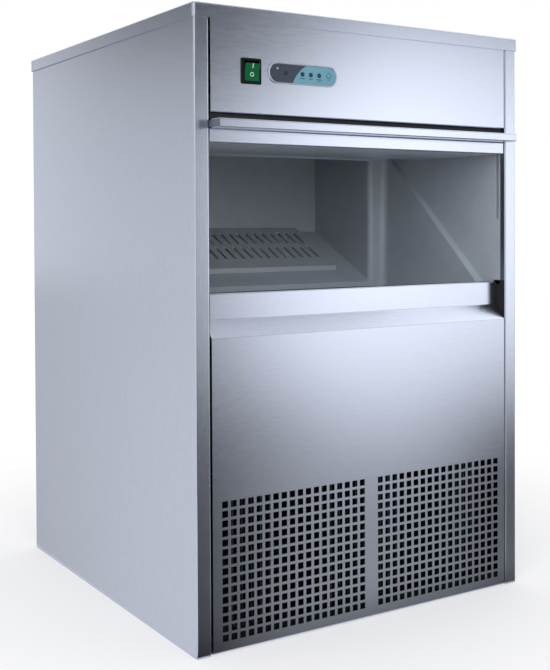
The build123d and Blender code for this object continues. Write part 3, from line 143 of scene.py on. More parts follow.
def new_finish(name, **shader):
    """Empty material with a Principled shader; returns material, tree and shader."""
    material = bpy.data.materials.new(name)
    material.use_nodes = True
    tree = material.node_tree
    tree.nodes.clear()
    principled = add_node(tree, "ShaderNodeBsdfPrincipled", {k: v for k, v in shader.items()})
    add_node(tree, "ShaderNodeOutputMaterial", None, {"Surface": principled.outputs[0]})
    return material, tree, principled


def pattern(tree, scale, kind="ShaderNodeTexNoise", **settings):
    """Pattern on object coordinates at the given scale per axis; returns the texture node."""
    place = add_node(tree, "ShaderNodeTexCoord")
    turn = add_node(tree, "ShaderNodeMapping", {"Scale": scale}, {"Vector": place.outputs["Object"]})
    return add_node(tree, kind, settings, {"Vector": turn.outputs[0]})


def spread(tree, value, low, high):
    """Map a 0 to 1 pattern onto a range."""
    return add_node(tree, "ShaderNodeMapRange", {"From Min": 0.3, "From Max": 0.7, "To Min": low, "To Max": high},
                    {"Value": value}).outputs[0]


def tint(tree, factor, first, second):
    """Mix of two colours by a factor."""
    mix = add_node(tree, "ShaderNodeMix", {"data_type": "RGBA"}, {0: factor})
    mix.inputs[6].default_value = first
    mix.inputs[7].default_value = second
    return mix.outputs[2]


def rise(tree, shader, height, distance, strength=1.0):
    """Bump the shader by a height pattern."""
    bump = add_node(tree, "ShaderNodeBump", {"Strength": strength, "Distance": distance}, {"Height": height})
    tree.links.new(bump.outputs[0], shader.inputs["Normal"])


# Stainless steel sheet, brushed with a belt: fine parallel lines that soften and stretch what it reflects.
def brushed_stainless(name, along):
    """Brushed sheet whose lines run along x, y or z."""
    colours, sizes = bpy.context.scene.ice_colours, bpy.context.scene.ice_sizes
    fine = 1.0 / sizes.brush
    scale = tuple(fine / 90 if axis == along else fine for axis in "xyz")
    material, tree, shader = new_finish(name, **{"Metallic": 1.0, "Roughness": 0.22, "Anisotropic": 0.3})
    lines = pattern(tree, scale, Detail=2.0, Roughness=0.6)
    tree.links.new(tint(tree, spread(tree, lines.outputs[0], 0, 1), colours.stainless_dark, colours.stainless),
                   shader.inputs["Base Color"])
    tree.links.new(spread(tree, lines.outputs[0], 0.18, 0.26), shader.inputs["Roughness"])
    rise(tree, shader, lines.outputs[0], 0.00002, 0.2)
    return material


# Hot-dip galvanised steel: dull zinc crystals of slightly different greys.
def galvanised_sheet():
    """Zinc coated sheet."""
    colours, sizes = bpy.context.scene.ice_colours, bpy.context.scene.ice_sizes
    material, tree, shader = new_finish("galvanised_steel", **{"Metallic": 0.85, "Roughness": 0.45})
    scale = 1.0 / sizes.spangle
    cells = pattern(tree, (scale, scale, scale), "ShaderNodeTexVoronoi")
    grey = add_node(tree, "ShaderNodeSeparateColor", None, {0: cells.outputs["Color"]})
    pale = tuple(min(1.0, c * 1.35) for c in colours.galvanised[:3]) + (1.0,)
    tree.links.new(tint(tree, grey.outputs[0], colours.galvanised, pale), shader.inputs["Base Color"])
    tree.links.new(spread(tree, grey.outputs[1], 0.38, 0.52), shader.inputs["Roughness"])
    rise(tree, shader, cells.outputs["Distance"], 0.0002, 0.2)
    return material


# Moulded plastics: an even colour with a faint cloud, a fine skin texture and a soft gloss.
def moulded_plastic(name, base, roughness=0.35, grain=0.0012, depth=0.00003, drift=0.06, **more):
    """Moulded or vacuum formed plastic."""
    material, tree, shader = new_finish(name, **{"Roughness": roughness, "IOR": 1.49, **more})
    scale = 1.0 / grain
    skin = pattern(tree, (scale, scale, scale), Detail=2.0)
    cloud = pattern(tree, (9.0, 9.0, 9.0), Detail=3.0)
    dark = tuple(c * (1 - drift) for c in base[:3]) + (1.0,)
    pale = tuple(min(1.0, c * (1 + drift)) for c in base[:3]) + (1.0,)
    tree.links.new(tint(tree, spread(tree, cloud.outputs[0], 0, 1), dark, pale), shader.inputs["Base Color"])
    tree.links.new(spread(tree, skin.outputs[0], roughness - 0.04, roughness + 0.05), shader.inputs["Roughness"])
    rise(tree, shader, skin.outputs[0], depth, 0.3)
    return material


# Bare metals such as copper, brass and aluminium: drawn lines and a slight tarnish.
def drawn_metal(name, base, roughness=0.3, tarnish=0.75, grain=0.003):
    """Drawn or stamped bare metal with a patchy tarnish."""
    material, tree, shader = new_finish(name, **{"Metallic": 1.0, "Roughness": roughness})
    scale = 1.0 / grain
    patches = pattern(tree, (scale / 8, scale / 8, scale / 8), Detail=4.0)
    lines = pattern(tree, (scale, scale, scale / 6), Detail=2.0)
    dull = tuple(c * tarnish for c in base[:3]) + (1.0,)
    tree.links.new(tint(tree, spread(tree, patches.outputs[0], 0, 1), dull, base), shader.inputs["Base Color"])
    tree.links.new(spread(tree, lines.outputs[0], roughness - 0.06, roughness + 0.1), shader.inputs["Roughness"])
    rise(tree, shader, lines.outputs[0], 0.00002, 0.2)
    return material


# Closed-cell foam, cut: small cells in a dull face; its black is painted shade for the gaps where the foam shows.
def cut_foam():
    """Insulating board."""
    colours = bpy.context.scene.ice_colours
    material, tree, shader = new_finish("foam_darkened_as_shade", **{"Roughness": 0.9})
    cells = pattern(tree, (500.0, 500.0, 500.0), "ShaderNodeTexVoronoi")
    dark = tuple(c * 0.72 for c in colours.foam[:3]) + (1.0,)
    tree.links.new(tint(tree, cells.outputs["Distance"], dark, colours.foam), shader.inputs["Base Color"])
    rise(tree, shader, cells.outputs["Distance"], 0.0006, 0.6)
    return material


# Printed polycarbonate film: a dark field and a pale one that meet on a slanting curve, under a satin skin.
def printed_film():
    """Film of the display, with its two fields."""
    colours = bpy.context.scene.ice_colours
    material, tree, shader = new_finish("printed_polycarbonate_film", **{"Roughness": 0.34, "IOR": 1.4})
    centre, extent = middle("display_overlay"), size("display_overlay")
    place = add_node(tree, "ShaderNodeTexCoord")
    parts = add_node(tree, "ShaderNodeSeparateXYZ", None, {0: place.outputs["Object"]})
    # the border is an arc: its middle lies far up and to the right, so the pale field bulges to the left
    arc = Vector((centre.x + extent.x * 0.247, centre.z - extent.z * 1.23))
    reach = extent.x * 0.44
    dx = add_node(tree, "ShaderNodeMath", {"operation": "SUBTRACT", 1: arc.x}, {0: parts.outputs[0]})
    dz = add_node(tree, "ShaderNodeMath", {"operation": "SUBTRACT", 1: arc.y}, {0: parts.outputs[2]})
    both = add_node(tree, "ShaderNodeCombineXYZ", None, {0: dx.outputs[0], 1: dz.outputs[0]})
    away = add_node(tree, "ShaderNodeVectorMath", {"operation": "LENGTH"}, {0: both.outputs[0]})
    inside = add_node(tree, "ShaderNodeMapRange", {"From Min": reach - 0.0001, "From Max": reach + 0.0001,
                                                   "To Min": 1.0, "To Max": 0.0}, {"Value": away.outputs["Value"]})
    tree.links.new(tint(tree, inside.outputs[0], colours.film_dark, colours.film_light),
                   shader.inputs["Base Color"])
    grain = pattern(tree, (2500.0, 2500.0, 2500.0), Detail=1.0)
    tree.links.new(spread(tree, grain.outputs[0], 0.3, 0.4), shader.inputs["Roughness"])
    rise(tree, shader, grain.outputs[0], 0.00001, 0.2)
    return material


# Glass-fibre circuit board: green mask over a grid of traces.
def circuit_board():
    """Printed circuit board."""
    material, tree, shader = new_finish("circuit_board_mask", **{"Roughness": 0.35})
    grid = pattern(tree, (700.0, 700.0, 700.0), "ShaderNodeTexBrick", **{"Mortar Size": 0.25})
    tree.links.new(tint(tree, grid.outputs["Fac"], srgb("#0E4A2A"), srgb("#1B6E40")), shader.inputs["Base Color"])
    rise(tree, shader, grid.outputs["Fac"], 0.00005, 0.4)
    return material


def make_finishes():
    """All finishes by the node group that wears them."""
    c = bpy.context.scene.ice_colours
    front = brushed_stainless("brushed_stainless_front", "x")
    side = brushed_stainless("brushed_stainless_side", "z")
    lid = brushed_stainless("brushed_stainless_lid", "x")
    zinc, foam = galvanised_sheet(), cut_foam()
    liner = moulded_plastic("vacuum_formed_abs", c.liner, 0.3, 0.0016, 0.00003, 0.04)
    cap = moulded_plastic("moulded_abs", c.end_cap, 0.45)
    nylon = moulded_plastic("moulded_nylon", c.nylon, 0.4)
    black = moulded_plastic("black_polyamide", c.black, 0.4, 0.0008, **{"Specular IOR Level": 0.2})
    white = moulded_plastic("white_polypropylene", srgb("#DADBD8"), 0.38)
    # base pan: zinc sheet given the enamel's black as painted shade, so that the grille holes in front of it look
    # dark
    base_pan_shade = moulded_plastic("base_pan_painted_shade", c.enamel, 0.45, 0.001, 0.00002, 0.08)
    enamel = moulded_plastic("black_enamel", c.enamel, 0.22, 0.004, 0.00006, 0.1, **{"Coat Weight": 0.4})
    # black rubber of the compressor feet; the same finish also paints shade as the strip over the door and the sheets
    # beside the recess
    rubber = moulded_plastic("black_rubber_and_shade", srgb("#1B1B1C"), 0.75, 0.0006)
    hose = moulded_plastic("silicone_hose", srgb("#BFC2C2"), 0.5)
    grey = moulded_plastic("grey_pvc", srgb("#73767B"), 0.4)
    rocker = moulded_plastic("green_polycarbonate", c.rocker, 0.2, 0.002, 0.00001, 0.12,
                             **{"Specular IOR Level": 0.15})
    lamp = moulded_plastic("lamp_lens", c.lamp, 0.12, 0.002, 0.00001, 0.1, **{"Specular IOR Level": 0.3})
    rim = drawn_metal("anodised_aluminium_rim", srgb("#C9CDD8"), 0.28, 0.92)
    rod = drawn_metal("ground_steel_rod", srgb("#B9BBC0"), 0.2, 0.9)
    fins = drawn_metal("stamped_aluminium", srgb("#7F858C"), 0.4, 0.75)
    copper = drawn_metal("drawn_copper", c.copper, 0.3, 0.6)
    brass = drawn_metal("turned_brass", c.brass, 0.25, 0.75)
    board, film = circuit_board(), printed_film()
    return {
        front: ["front_panel", "control_panel", "door_skin"],
        side: ["side_panel_left", "side_panel_right", "back_panel"],
        lid: ["top_lid"],
        base_pan_shade: ["base_pan"],
        zinc: ["leg_nuts", "bin_ceiling", "bin_deck", "rear_shelf", "ice_unit_frame"],
        liner: ["bin_liner", "ice_slide", "door_liner", "door_track_left", "door_track_right"],
        cap: ["door_cheek_left", "door_cheek_right"],
        nylon: ["door_rollers", "float_ring"],
        foam: ["door_core", "foam_left", "foam_right", "foam_front", "foam_bottom", "foam_back"],
        black: ["switch_housing", "cord_gland", "fan_shroud", "control_box"],
        rocker: ["power_rocker"],
        rim: ["display_bezel"],
        film: ["display_overlay"],
        lamp: ["indicator_lamps"],
        board: ["display_board"],
        rod: ["door_pivot_rod", "float_stem"],
        white: ["water_tank", "water_tray", "pump", "tray_motor", "inlet_valve"],
        brass: ["water_inlet"],
        grey: ["drain_spigot"],
        hose: ["drain_hose"],
        enamel: ["compressor", "fan_motor"],
        rubber: ["compressor_feet"],
        fins: ["condenser", "fan_blade"],
        copper: ["evaporator", "evaporator_clamps", "filter_drier", "discharge_pipe", "suction_pipe"],
    }


def finish_of(name):
    """Material made earlier, by its name."""
    return bpy.data.materials[name]


def add_piece(name, mesh, body, finish):
    """Turn a bmesh into a piece that rides on a body."""
    bmesh.ops.remove_doubles(mesh, verts=mesh.verts, dist=1e-7)
    bmesh.ops.recalc_face_normals(mesh, faces=mesh.faces)
    data = bpy.data.meshes.new(name)
    mesh.to_mesh(data)
    mesh.free()
    piece = bpy.data.objects.new(name, data)
    bpy.context.scene.collection.objects.link(piece)
    data.materials.append(finish)
    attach(piece, body)
    return piece


def join_copy(mesh, part):
    """Add a finished bmesh to another and free it."""
    data = bpy.data.meshes.new("part")
    part.to_mesh(data)
    part.free()
    mesh.from_mesh(data)
    bpy.data.meshes.remove(data)


class FinishOperator(bpy.types.Operator):
    """Give every sheet, moulding and pipe its finish"""
    bl_idname = "ice_machine.finishes"
    bl_label = "Finishes"

    def execute(self, context):
        dressed = set()
        for material, nodes in make_finishes().items():
            for node in nodes:
                slots = frame["nodes"][node].data.materials
                slots.clear()
                slots.append(material)
                dressed.add(node)
        left = set(frame["nodes"]) - dressed
        if left:
            raise RuntimeError(f"no finish for {sorted(left)}")
        return {"FINISHED"}


class SwitchMarksOperator(bpy.types.Operator):
    """Make the white bar and ring on the power rocker"""
    bl_idname = "ice_machine.switch_marks"
    bl_label = "Switch marks"

    def execute(self, context):
        sizes = context.scene.ice_sizes
        pivot = next(j for j in frame["record"]["behaviour"]["joints"] if j["name"] == "power_switch")["pos_m"]
        tilt = math.radians(9.0)
        ridge = -0.2625 - 0.0026
        stroke, height = sizes.mark_line, sizes.mark_height
        lift = 0.00006
        thick = 0.0003
        mesh = bmesh.new()
        for sign in (1, -1):
            part = bmesh.new()
            if sign > 0:
                bmesh.ops.create_cube(part, size=1.0)
                bmesh.ops.scale(part, verts=part.verts, vec=(stroke, thick, height))
                edges = [e for e in part.edges if abs((e.verts[0].co - e.verts[1].co).normalized().y) > 0.9]
                bmesh.ops.bevel(part, geom=edges, offset=stroke * 0.4, segments=3, profile=0.5, affect="EDGES",
                                material=-1)
            else:
                ring_r = height * 0.4
                bmesh.ops.create_circle(part, radius=stroke / 2, segments=8, cap_ends=False,
                                        matrix=Matrix.Translation((ring_r, 0, 0)) @ Matrix.Rotation(math.pi / 2, 4, "X"))
                bmesh.ops.spin(part, geom=part.verts[:] + part.edges[:], cent=(0, 0, 0), axis=(0, 0, 1),
                               angle=2 * math.pi, steps=32, use_merge=True, use_duplicate=False)
                bmesh.ops.rotate(part, verts=part.verts, matrix=Matrix.Rotation(math.pi / 2, 3, "X"))
            # lie on the flat, halfway up it, then turn with the pressed rocker
            up = Matrix.Translation((pivot[0], ridge - lift, pivot[2]))
            lean = Matrix.Rotation(tilt * sign, 4, "X")
            out = Matrix.Translation((0, 0, sizes.bar_up if sign > 0 else -sizes.ring_down))
            press = (Matrix.Translation(pivot) @ Matrix.Rotation(tilt, 4, "X")
                     @ Matrix.Translation(-Vector(pivot)))
            bmesh.ops.transform(part, matrix=press @ up @ lean @ out, verts=part.verts)
            join_copy(mesh, part)
        material = moulded_plastic("white_print", context.scene.ice_colours.mark, 0.4)
        add_piece("switch_marks", mesh, "rocker", material)
        return {"FINISHED"}


class DisplayMarksOperator(bpy.types.Operator):
    """Print the small wordless marks on the display film"""
    bl_idname = "ice_machine.display_marks"
    bl_label = "Display marks"

    def execute(self, context):
        colours = context.scene.ice_colours
        low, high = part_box("display_overlay")
        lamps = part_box("indicator_lamps")
        face = low[1] - 0.00005
        under = lamps[0][2] + lamp_radius() - 0.0050
        right = [lamps[1][0] - lamp_radius() - step for step in (0.0, 0.0122, 0.0244)]
        dark, pale = bmesh.new(), bmesh.new()
        for x, width in zip(right, (0.0078, 0.0056, 0.0076)):
            bar(dark, (x, face, under), width, 0.0012)
        bar(dark, (right[0], face, under - 0.0022), 0.0044, 0.0010)
        drop(dark, (high[0] - 0.0112, face, middle("display_overlay").z + 0.0012), 0.0034)
        corner = (low[0] + 0.0105, face, high[2] - 0.0058)
        bar(pale, corner, 0.0030, 0.0007)
        bar(pale, (corner[0], face, corner[2] + 0.0012), 0.0018, 0.0007)
        for name, mesh, ink in (("display_print_dark", dark, colours.print_dark),
                                ("display_print_pale", pale, colours.print_pale)):
            add_piece(name, mesh, "cabinet", moulded_plastic(name, ink, 0.45))
        return {"FINISHED"}


def lamp_radius():
    """Radius of a lamp lens."""
    low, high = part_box("indicator_lamps")
    return (high[2] - low[2]) / 2


def bar(mesh, place, width, height):
    """Printed bar with rounded ends on a face that looks towards -y."""
    part = bmesh.new()
    bmesh.ops.create_cube(part, size=1.0)
    bmesh.ops.scale(part, verts=part.verts, vec=(width, 0.0001, height))
    edges = [e for e in part.edges if abs((e.verts[0].co - e.verts[1].co).normalized().y) > 0.9]
    bmesh.ops.bevel(part, geom=edges, offset=min(width, height) * 0.45, segments=3, profile=0.5, affect="EDGES",
                    material=-1)
    bmesh.ops.translate(part, verts=part.verts, vec=place)
    join_copy(mesh, part)


def drop(mesh, place, radius):
    """Printed drop: a ring whose top is drawn up to a point, with a stroke under it."""
    part = bmesh.new()
    bmesh.ops.create_circle(part, radius=0.0006, segments=8, cap_ends=False,
                            matrix=Matrix.Translation((radius, 0, 0)) @ Matrix.Rotation(math.pi / 2, 4, "X"))
    bmesh.ops.spin(part, geom=part.verts[:] + part.edges[:], cent=(0, 0, 0), axis=(0, 0, 1), angle=2 * math.pi,
                   steps=24, use_merge=True, use_duplicate=False)
    bmesh.ops.rotate(part, verts=part.verts, matrix=Matrix.Rotation(math.pi / 2, 3, "X"))
    bmesh.ops.scale(part, verts=part.verts, vec=(1, 0.1, 1))
    for vert in part.verts:
        if vert.co.z > 0:
            vert.co.x *= 1 - 0.6 * vert.co.z / radius
    bmesh.ops.translate(part, verts=part.verts, vec=place)
    join_copy(mesh, part)
    bar(mesh, (place[0], place[1], place[2] - 1.7 * radius), 0.9 * radius, 0.0009)


class ShadeStripOperator(bpy.types.Operator):
    """Make a strip in the black rubber finish behind the foot of the control panel, over the open door: painted shade
    on the front edge of the liner's roof, which lies in shadow
    """
    bl_idname = "ice_machine.door_seal"
    bl_label = "Shade strip"

    def execute(self, context):
        sizes = context.scene.ice_sizes
        panel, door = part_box("control_panel"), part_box("door_skin")
        half = (panel[1][0] - panel[0][0]) / 2 - sizes.shade_strip_end
        front = panel[0][1] + sizes.shade_strip_back
        low, high = door[1][2] + sizes.shade_strip_clear, panel[0][2] - sizes.shade_strip_clear / 4
        mesh = bmesh.new()
        bmesh.ops.create_cube(mesh, size=1.0)
        bmesh.ops.scale(mesh, verts=mesh.verts, vec=(2 * half, sizes.shade_strip_thick, high - low))
        edges = [e for e in mesh.edges if abs((e.verts[0].co - e.verts[1].co).normalized().x) > 0.9]
        bmesh.ops.bevel(mesh, geom=edges, offset=sizes.shade_strip_thick * 0.3, segments=3, profile=0.5, affect="EDGES",
                        material=-1)
        bmesh.ops.translate(mesh, verts=mesh.verts, vec=(0, front + sizes.shade_strip_thick / 2, (low + high) / 2))
        # the strip is painted shade in the black rubber finish, not a real seal
        add_piece("door_seal", mesh, "cabinet", finish_of("black_rubber_and_shade"))
        return {"FINISHED"}


class ScrewsOperator(bpy.types.Operator):
    """Make the pan head screws of the rear panel"""
    bl_idname = "ice_machine.rear_screws"
    bl_label = "Rear screws"

    def execute(self, context):
        sizes = context.scene.ice_sizes
        low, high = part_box("back_panel")
        inset = 0.009
        mesh = bmesh.new()
        rows = 5
        for x in (low[0] + inset, high[0] - inset):
            for row in range(rows):
                z = low[2] + 0.03 + row * (high[2] - low[2] - 0.06) / (rows - 1)
                join_copy(mesh, screw_head(sizes.screw, sizes.screw_sides, (x, high[1], z), math.radians(17 * row)))
        material = drawn_metal("zinc_plated_screw", srgb("#C2C6CC"), 0.28, 0.85)
        add_piece("rear_screws", mesh, "cabinet", material)
        return {"FINISHED"}


def screw_head(radius, sides, place, turn):
    """Pan head with a cross recess that faces +y."""
    head = bmesh.new()
    profile = [(radius, 0.0), (radius, radius * 0.35), (radius * 0.8, radius * 0.62), (radius * 0.42, radius * 0.72)]
    line = [head.verts.new((r, 0, h)) for r, h in profile]
    edges = [head.edges.new((a, b)) for a, b in zip(line, line[1:])]
    bmesh.ops.spin(head, geom=line + edges, cent=(0, 0, 0), axis=(0, 0, 1), angle=2 * math.pi, steps=sides,
                   use_merge=True, use_duplicate=False)
    top = profile[-1][1]
    rims = [[e for e in head.edges if e.is_boundary and (e.verts[0].co.z > radius * 0.1) == upper]
            for upper in (False, True)]
    bmesh.ops.holes_fill(head, edges=rims[0], sides=0)
    # the recess: a cross in the top rim, sunk and closed
    arm, half = radius * 0.34, radius * 0.09
    quarter = [(half, arm), (-half, arm), (-half, half)]
    corners = [head.verts.new(Matrix.Rotation(turn + step * math.pi / 2, 3, "Z") @ Vector((x, y, top)))
               for step in range(4) for x, y in quarter]
    cross = [head.edges.new(pair) for pair in zip(corners, corners[1:] + corners[:1])]
    bmesh.ops.triangle_fill(head, use_beauty=True, use_dissolve=False, edges=rims[1] + cross)
    sunk = bmesh.ops.extrude_edge_only(head, edges=cross)["geom"]
    bmesh.ops.translate(head, verts=[v for v in sunk if isinstance(v, bmesh.types.BMVert)],
                        vec=(0, 0, -radius * 0.4))
    bmesh.ops.triangle_fill(head, use_beauty=True, use_dissolve=False,
                            edges=[e for e in sunk if isinstance(e, bmesh.types.BMEdge) and e.is_boundary])
    bmesh.ops.recalc_face_normals(head, faces=head.faces)
    bmesh.ops.transform(head, matrix=Matrix.Translation(place) @ Matrix.Rotation(-math.pi / 2, 4, "X"),
                        verts=head.verts)
    return head


class RecessShadeSheetOperator(bpy.types.Operator):
    """Make thin black sheets on the posts, beside the ends of the finger recess: painted shade for the dark gap next
    to the sill
    """
    bl_idname = "ice_machine.recess_trim"
    bl_label = "Recess shade sheet"

    def execute(self, context):
        thick, deep, tall, centre_y, centre_z = 0.0005, 0.0200, 0.0570, -0.2513, 0.3905
        post = 0.0195
        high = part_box("side_panel_right")[1][0]
        mesh = bmesh.new()
        for side in (-1, 1):
            part = bmesh.new()
            bmesh.ops.create_cube(part, size=1.0)
            bmesh.ops.scale(part, verts=part.verts, vec=(thick, deep, tall))
            bmesh.ops.bevel(part, geom=part.edges[:], offset=thick * 0.3, segments=2, profile=0.5, affect="EDGES",
                            material=-1)
            bmesh.ops.translate(part, verts=part.verts, vec=(side * (high - post - thick / 2), centre_y, centre_z))
            join_copy(mesh, part)
        # the sheets are painted shade of the gap beside the sill, in the black rubber finish
        add_piece("recess_trim", mesh, "cabinet", finish_of("black_rubber_and_shade"))
        return {"FINISHED"}


class InletThreadOperator(bpy.types.Operator):
    """Cut the pipe thread on the water inlet, as a raised helix with run-out ends"""
    bl_idname = "ice_machine.inlet_thread"
    bl_label = "Inlet thread"

    def execute(self, context):
        sizes = context.scene.ice_sizes
        mount = next(m for m in frame["record"]["mounts"] if m["name"] == "water_inlet")
        radius = mount["dims"]["r_mm"] / 1000
        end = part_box("water_inlet")[1][1]
        pitch, rise_by = sizes.thread_pitch, sizes.thread_height
        turns, steps = 5, 32
        mesh = bmesh.new()
        line = [mesh.verts.new((radius + out, 0, along * pitch)) for out, along in
                ((-0.0002, -0.42), (rise_by, -0.08), (rise_by, 0.08), (-0.0002, 0.42))]
        edges = [mesh.edges.new(pair) for pair in zip(line, line[1:] + line[:1])]
        first = bmesh.ops.contextual_create(mesh, geom=edges)["faces"]
        bmesh.ops.spin(mesh, geom=first + edges + line, cent=(0, 0, 0), axis=(0, 0, 1),
                       dvec=(0, 0, pitch / steps), angle=2 * math.pi * turns, steps=steps * turns,
                       use_merge=False, use_duplicate=False)
        bmesh.ops.holes_fill(mesh, edges=[e for e in mesh.edges if e.is_boundary], sides=0)
        # the helix dies away over half a turn at both ends
        reach = turns * pitch
        for vert in mesh.verts:
            out = math.hypot(vert.co.x, vert.co.y) - radius
            away = min(vert.co.z, reach - vert.co.z) / (pitch / 2)
            if out > 0 and away < 1:
                scale = (radius + out * max(0.05, away)) / (radius + out)
                vert.co.x *= scale
                vert.co.y *= scale
        bmesh.ops.recalc_face_normals(mesh, faces=mesh.faces)
        where = middle("water_inlet")
        bmesh.ops.transform(mesh, matrix=Matrix.Translation((where.x, end - 0.0006 - pitch / 2, where.z))
                            @ Matrix.Rotation(math.pi / 2, 4, "X"), verts=mesh.verts)
        add_piece("inlet_thread", mesh, "cabinet", finish_of("turned_brass"))
        return {"FINISHED"}


class StageOperator(bpy.types.Operator):
    """Set the floor, the soft light, the reflecting cards and the camera"""
    bl_idname = "ice_machine.stage"
    bl_label = "Stage"

    def execute(self, context):
        scene = context.scene
        scene.view_settings.view_transform = "Standard"
        make_floor()
        make_world(scene)
        make_cards()
        for name, place, aim, width, height, power in (
                ("key", (-2.6, -2.4, 2.6), (0, -0.1, 0.35), 2.2, 2.2, 60.0),
                ("fill", (-0.9, -2.7, 1.15), (0, -0.1, 0.45), 1.4, 1.0, 23.0),
                ("top", (0.2, 0.3, 3.2), (0, 0, 0.3), 2.4, 2.4, 35.0)):
            lamp = bpy.data.lights.new(name, "AREA")
            lamp.shape = "RECTANGLE"
            lamp.size, lamp.size_y, lamp.energy = width, height, power
            lamp.specular_factor = 1.0
            holder = bpy.data.objects.new(name, lamp)
            scene.collection.objects.link(holder)
            holder.visible_glossy = False
            holder.location = place
            holder.rotation_euler = (Vector(aim) - Vector(place)).to_track_quat("-Z", "Y").to_euler()
        make_camera(scene)
        return {"FINISHED"}


def make_camera(scene):
    """Camera fitted to the photograph's vanishing lines."""
    yaw, pitch, roll = math.radians(32.33), math.radians(-0.94), math.radians(-0.26)
    ahead = Vector((math.sin(yaw) * math.cos(pitch), math.cos(yaw) * math.cos(pitch), math.sin(pitch)))
    level = Vector((math.cos(yaw), -math.sin(yaw), 0))
    upright = level.cross(ahead)
    right = level * math.cos(roll) + upright * math.sin(roll)
    up = upright * math.cos(roll) - level * math.sin(roll)
    data = bpy.data.cameras.new("camera")
    data.sensor_width = 36.0
    # the focal length is 1092 px on an image 670 px high, whose optical axis meets it 242 px down
    data.lens = 1092.01 * 36.0 / 670
    data.shift_y = -(670 / 2 - 241.96) / 670
    data.clip_end = 100
    camera = bpy.data.objects.new("camera", data)
    scene.collection.objects.link(camera)
    camera.matrix_world = Matrix((
        (right.x, up.x, -ahead.x, CAMERA.x),
        (right.y, up.y, -ahead.y, CAMERA.y),
        (right.z, up.z, -ahead.z, CAMERA.z),
        (0, 0, 0, 1)))
    scene.camera = camera


def seen_directly(tree):
    """1 for rays from the camera, in reflections and through clear things, else 0."""
    path = add_node(tree, "ShaderNodeLightPath")
    first = add_node(tree, "ShaderNodeMath", {"operation": "MAXIMUM"},
                     {0: path.outputs["Is Camera Ray"], 1: path.outputs["Is Glossy Ray"]})
    return add_node(tree, "ShaderNodeMath", {"operation": "MAXIMUM"},
                    {0: first.outputs[0], 1: path.outputs["Is Transmission Ray"]}).outputs[0]


def make_world(scene):
    """White surroundings that light the object softly."""
    world = bpy.data.worlds.new("studio")
    world.use_nodes = True
    tree = world.node_tree
    tree.nodes.clear()
    strength = add_node(tree, "ShaderNodeMapRange", {"To Min": 0.55, "To Max": 1.0},
                        {"Value": seen_directly(tree)})
    sky = add_node(tree, "ShaderNodeBackground", {"Color": (1, 1, 1, 1)}, {"Strength": strength.outputs[0]})
    add_node(tree, "ShaderNodeOutputWorld", None, {"Surface": sky.outputs[0]})
    scene.world = world


def stage_plane(name, corner, across, up, material, hidden=False):
    """Flat stage piece from a corner and its two sides."""
    mesh = bmesh.new()
    corner, across, up = Vector(corner), Vector(across), Vector(up)
    verts = [mesh.verts.new(v) for v in (corner, corner + across, corner + across + up, corner + up)]
    mesh.faces.new(verts)
    data = bpy.data.meshes.new(name)
    mesh.to_mesh(data)
    mesh.free()
    plane = bpy.data.objects.new(name, data)
    bpy.context.scene.collection.objects.link(plane)
    data.materials.append(material)
    if hidden:
        plane.visible_camera = plane.visible_diffuse = plane.visible_shadow = False
        plane.visible_transmission = plane.visible_volume_scatter = False
    return plane


def make_floor():
    """Pale floor that keeps the object's shadow and runs out to plain white."""
    material = bpy.data.materials.new("pale_floor")
    material.use_nodes = True
    tree = material.node_tree
    tree.nodes.clear()
    matt = add_node(tree, "ShaderNodeBsdfDiffuse", {"Color": (0.9, 0.9, 0.91, 1)})
    white = add_node(tree, "ShaderNodeEmission", {"Color": (1, 1, 1, 1), "Strength": 1.0})
    place = add_node(tree, "ShaderNodeTexCoord")
    away = add_node(tree, "ShaderNodeVectorMath", {"operation": "LENGTH"}, {0: place.outputs["Object"]})
    far = add_node(tree, "ShaderNodeMapRange", {"From Min": 0.4, "From Max": 0.95, "To Min": 0.32, "To Max": 1.0,
                                                "interpolation_type": "SMOOTHSTEP"}, {"Value": away.outputs["Value"]})
    seen = add_node(tree, "ShaderNodeMath", {"operation": "MULTIPLY"}, {0: far.outputs[0], 1: seen_directly(tree)})
    both = add_node(tree, "ShaderNodeMixShader", None, {0: seen.outputs[0], 1: matt.outputs[0], 2: white.outputs[0]})
    add_node(tree, "ShaderNodeOutputMaterial", None, {"Surface": both.outputs[0]})
    stage_plane("floor", (-12, -12, 0), (24, 0, 0), (0, 24, 0), material)


def curve_of(tree, value, stops):
    """Curve through (value, brightness) stops."""
    curve = add_node(tree, "ShaderNodeFloatCurve", None, {1: value})
    curve.mapping.use_clip = False
    curve.mapping.extend = "HORIZONTAL"
    points = curve.mapping.curves[0].points
    for _ in stops[2:]:
        points.new(0, 0)
    for point, stop in zip(points, stops):
        point.location = stop
    curve.mapping.update()
    return curve.outputs[0]


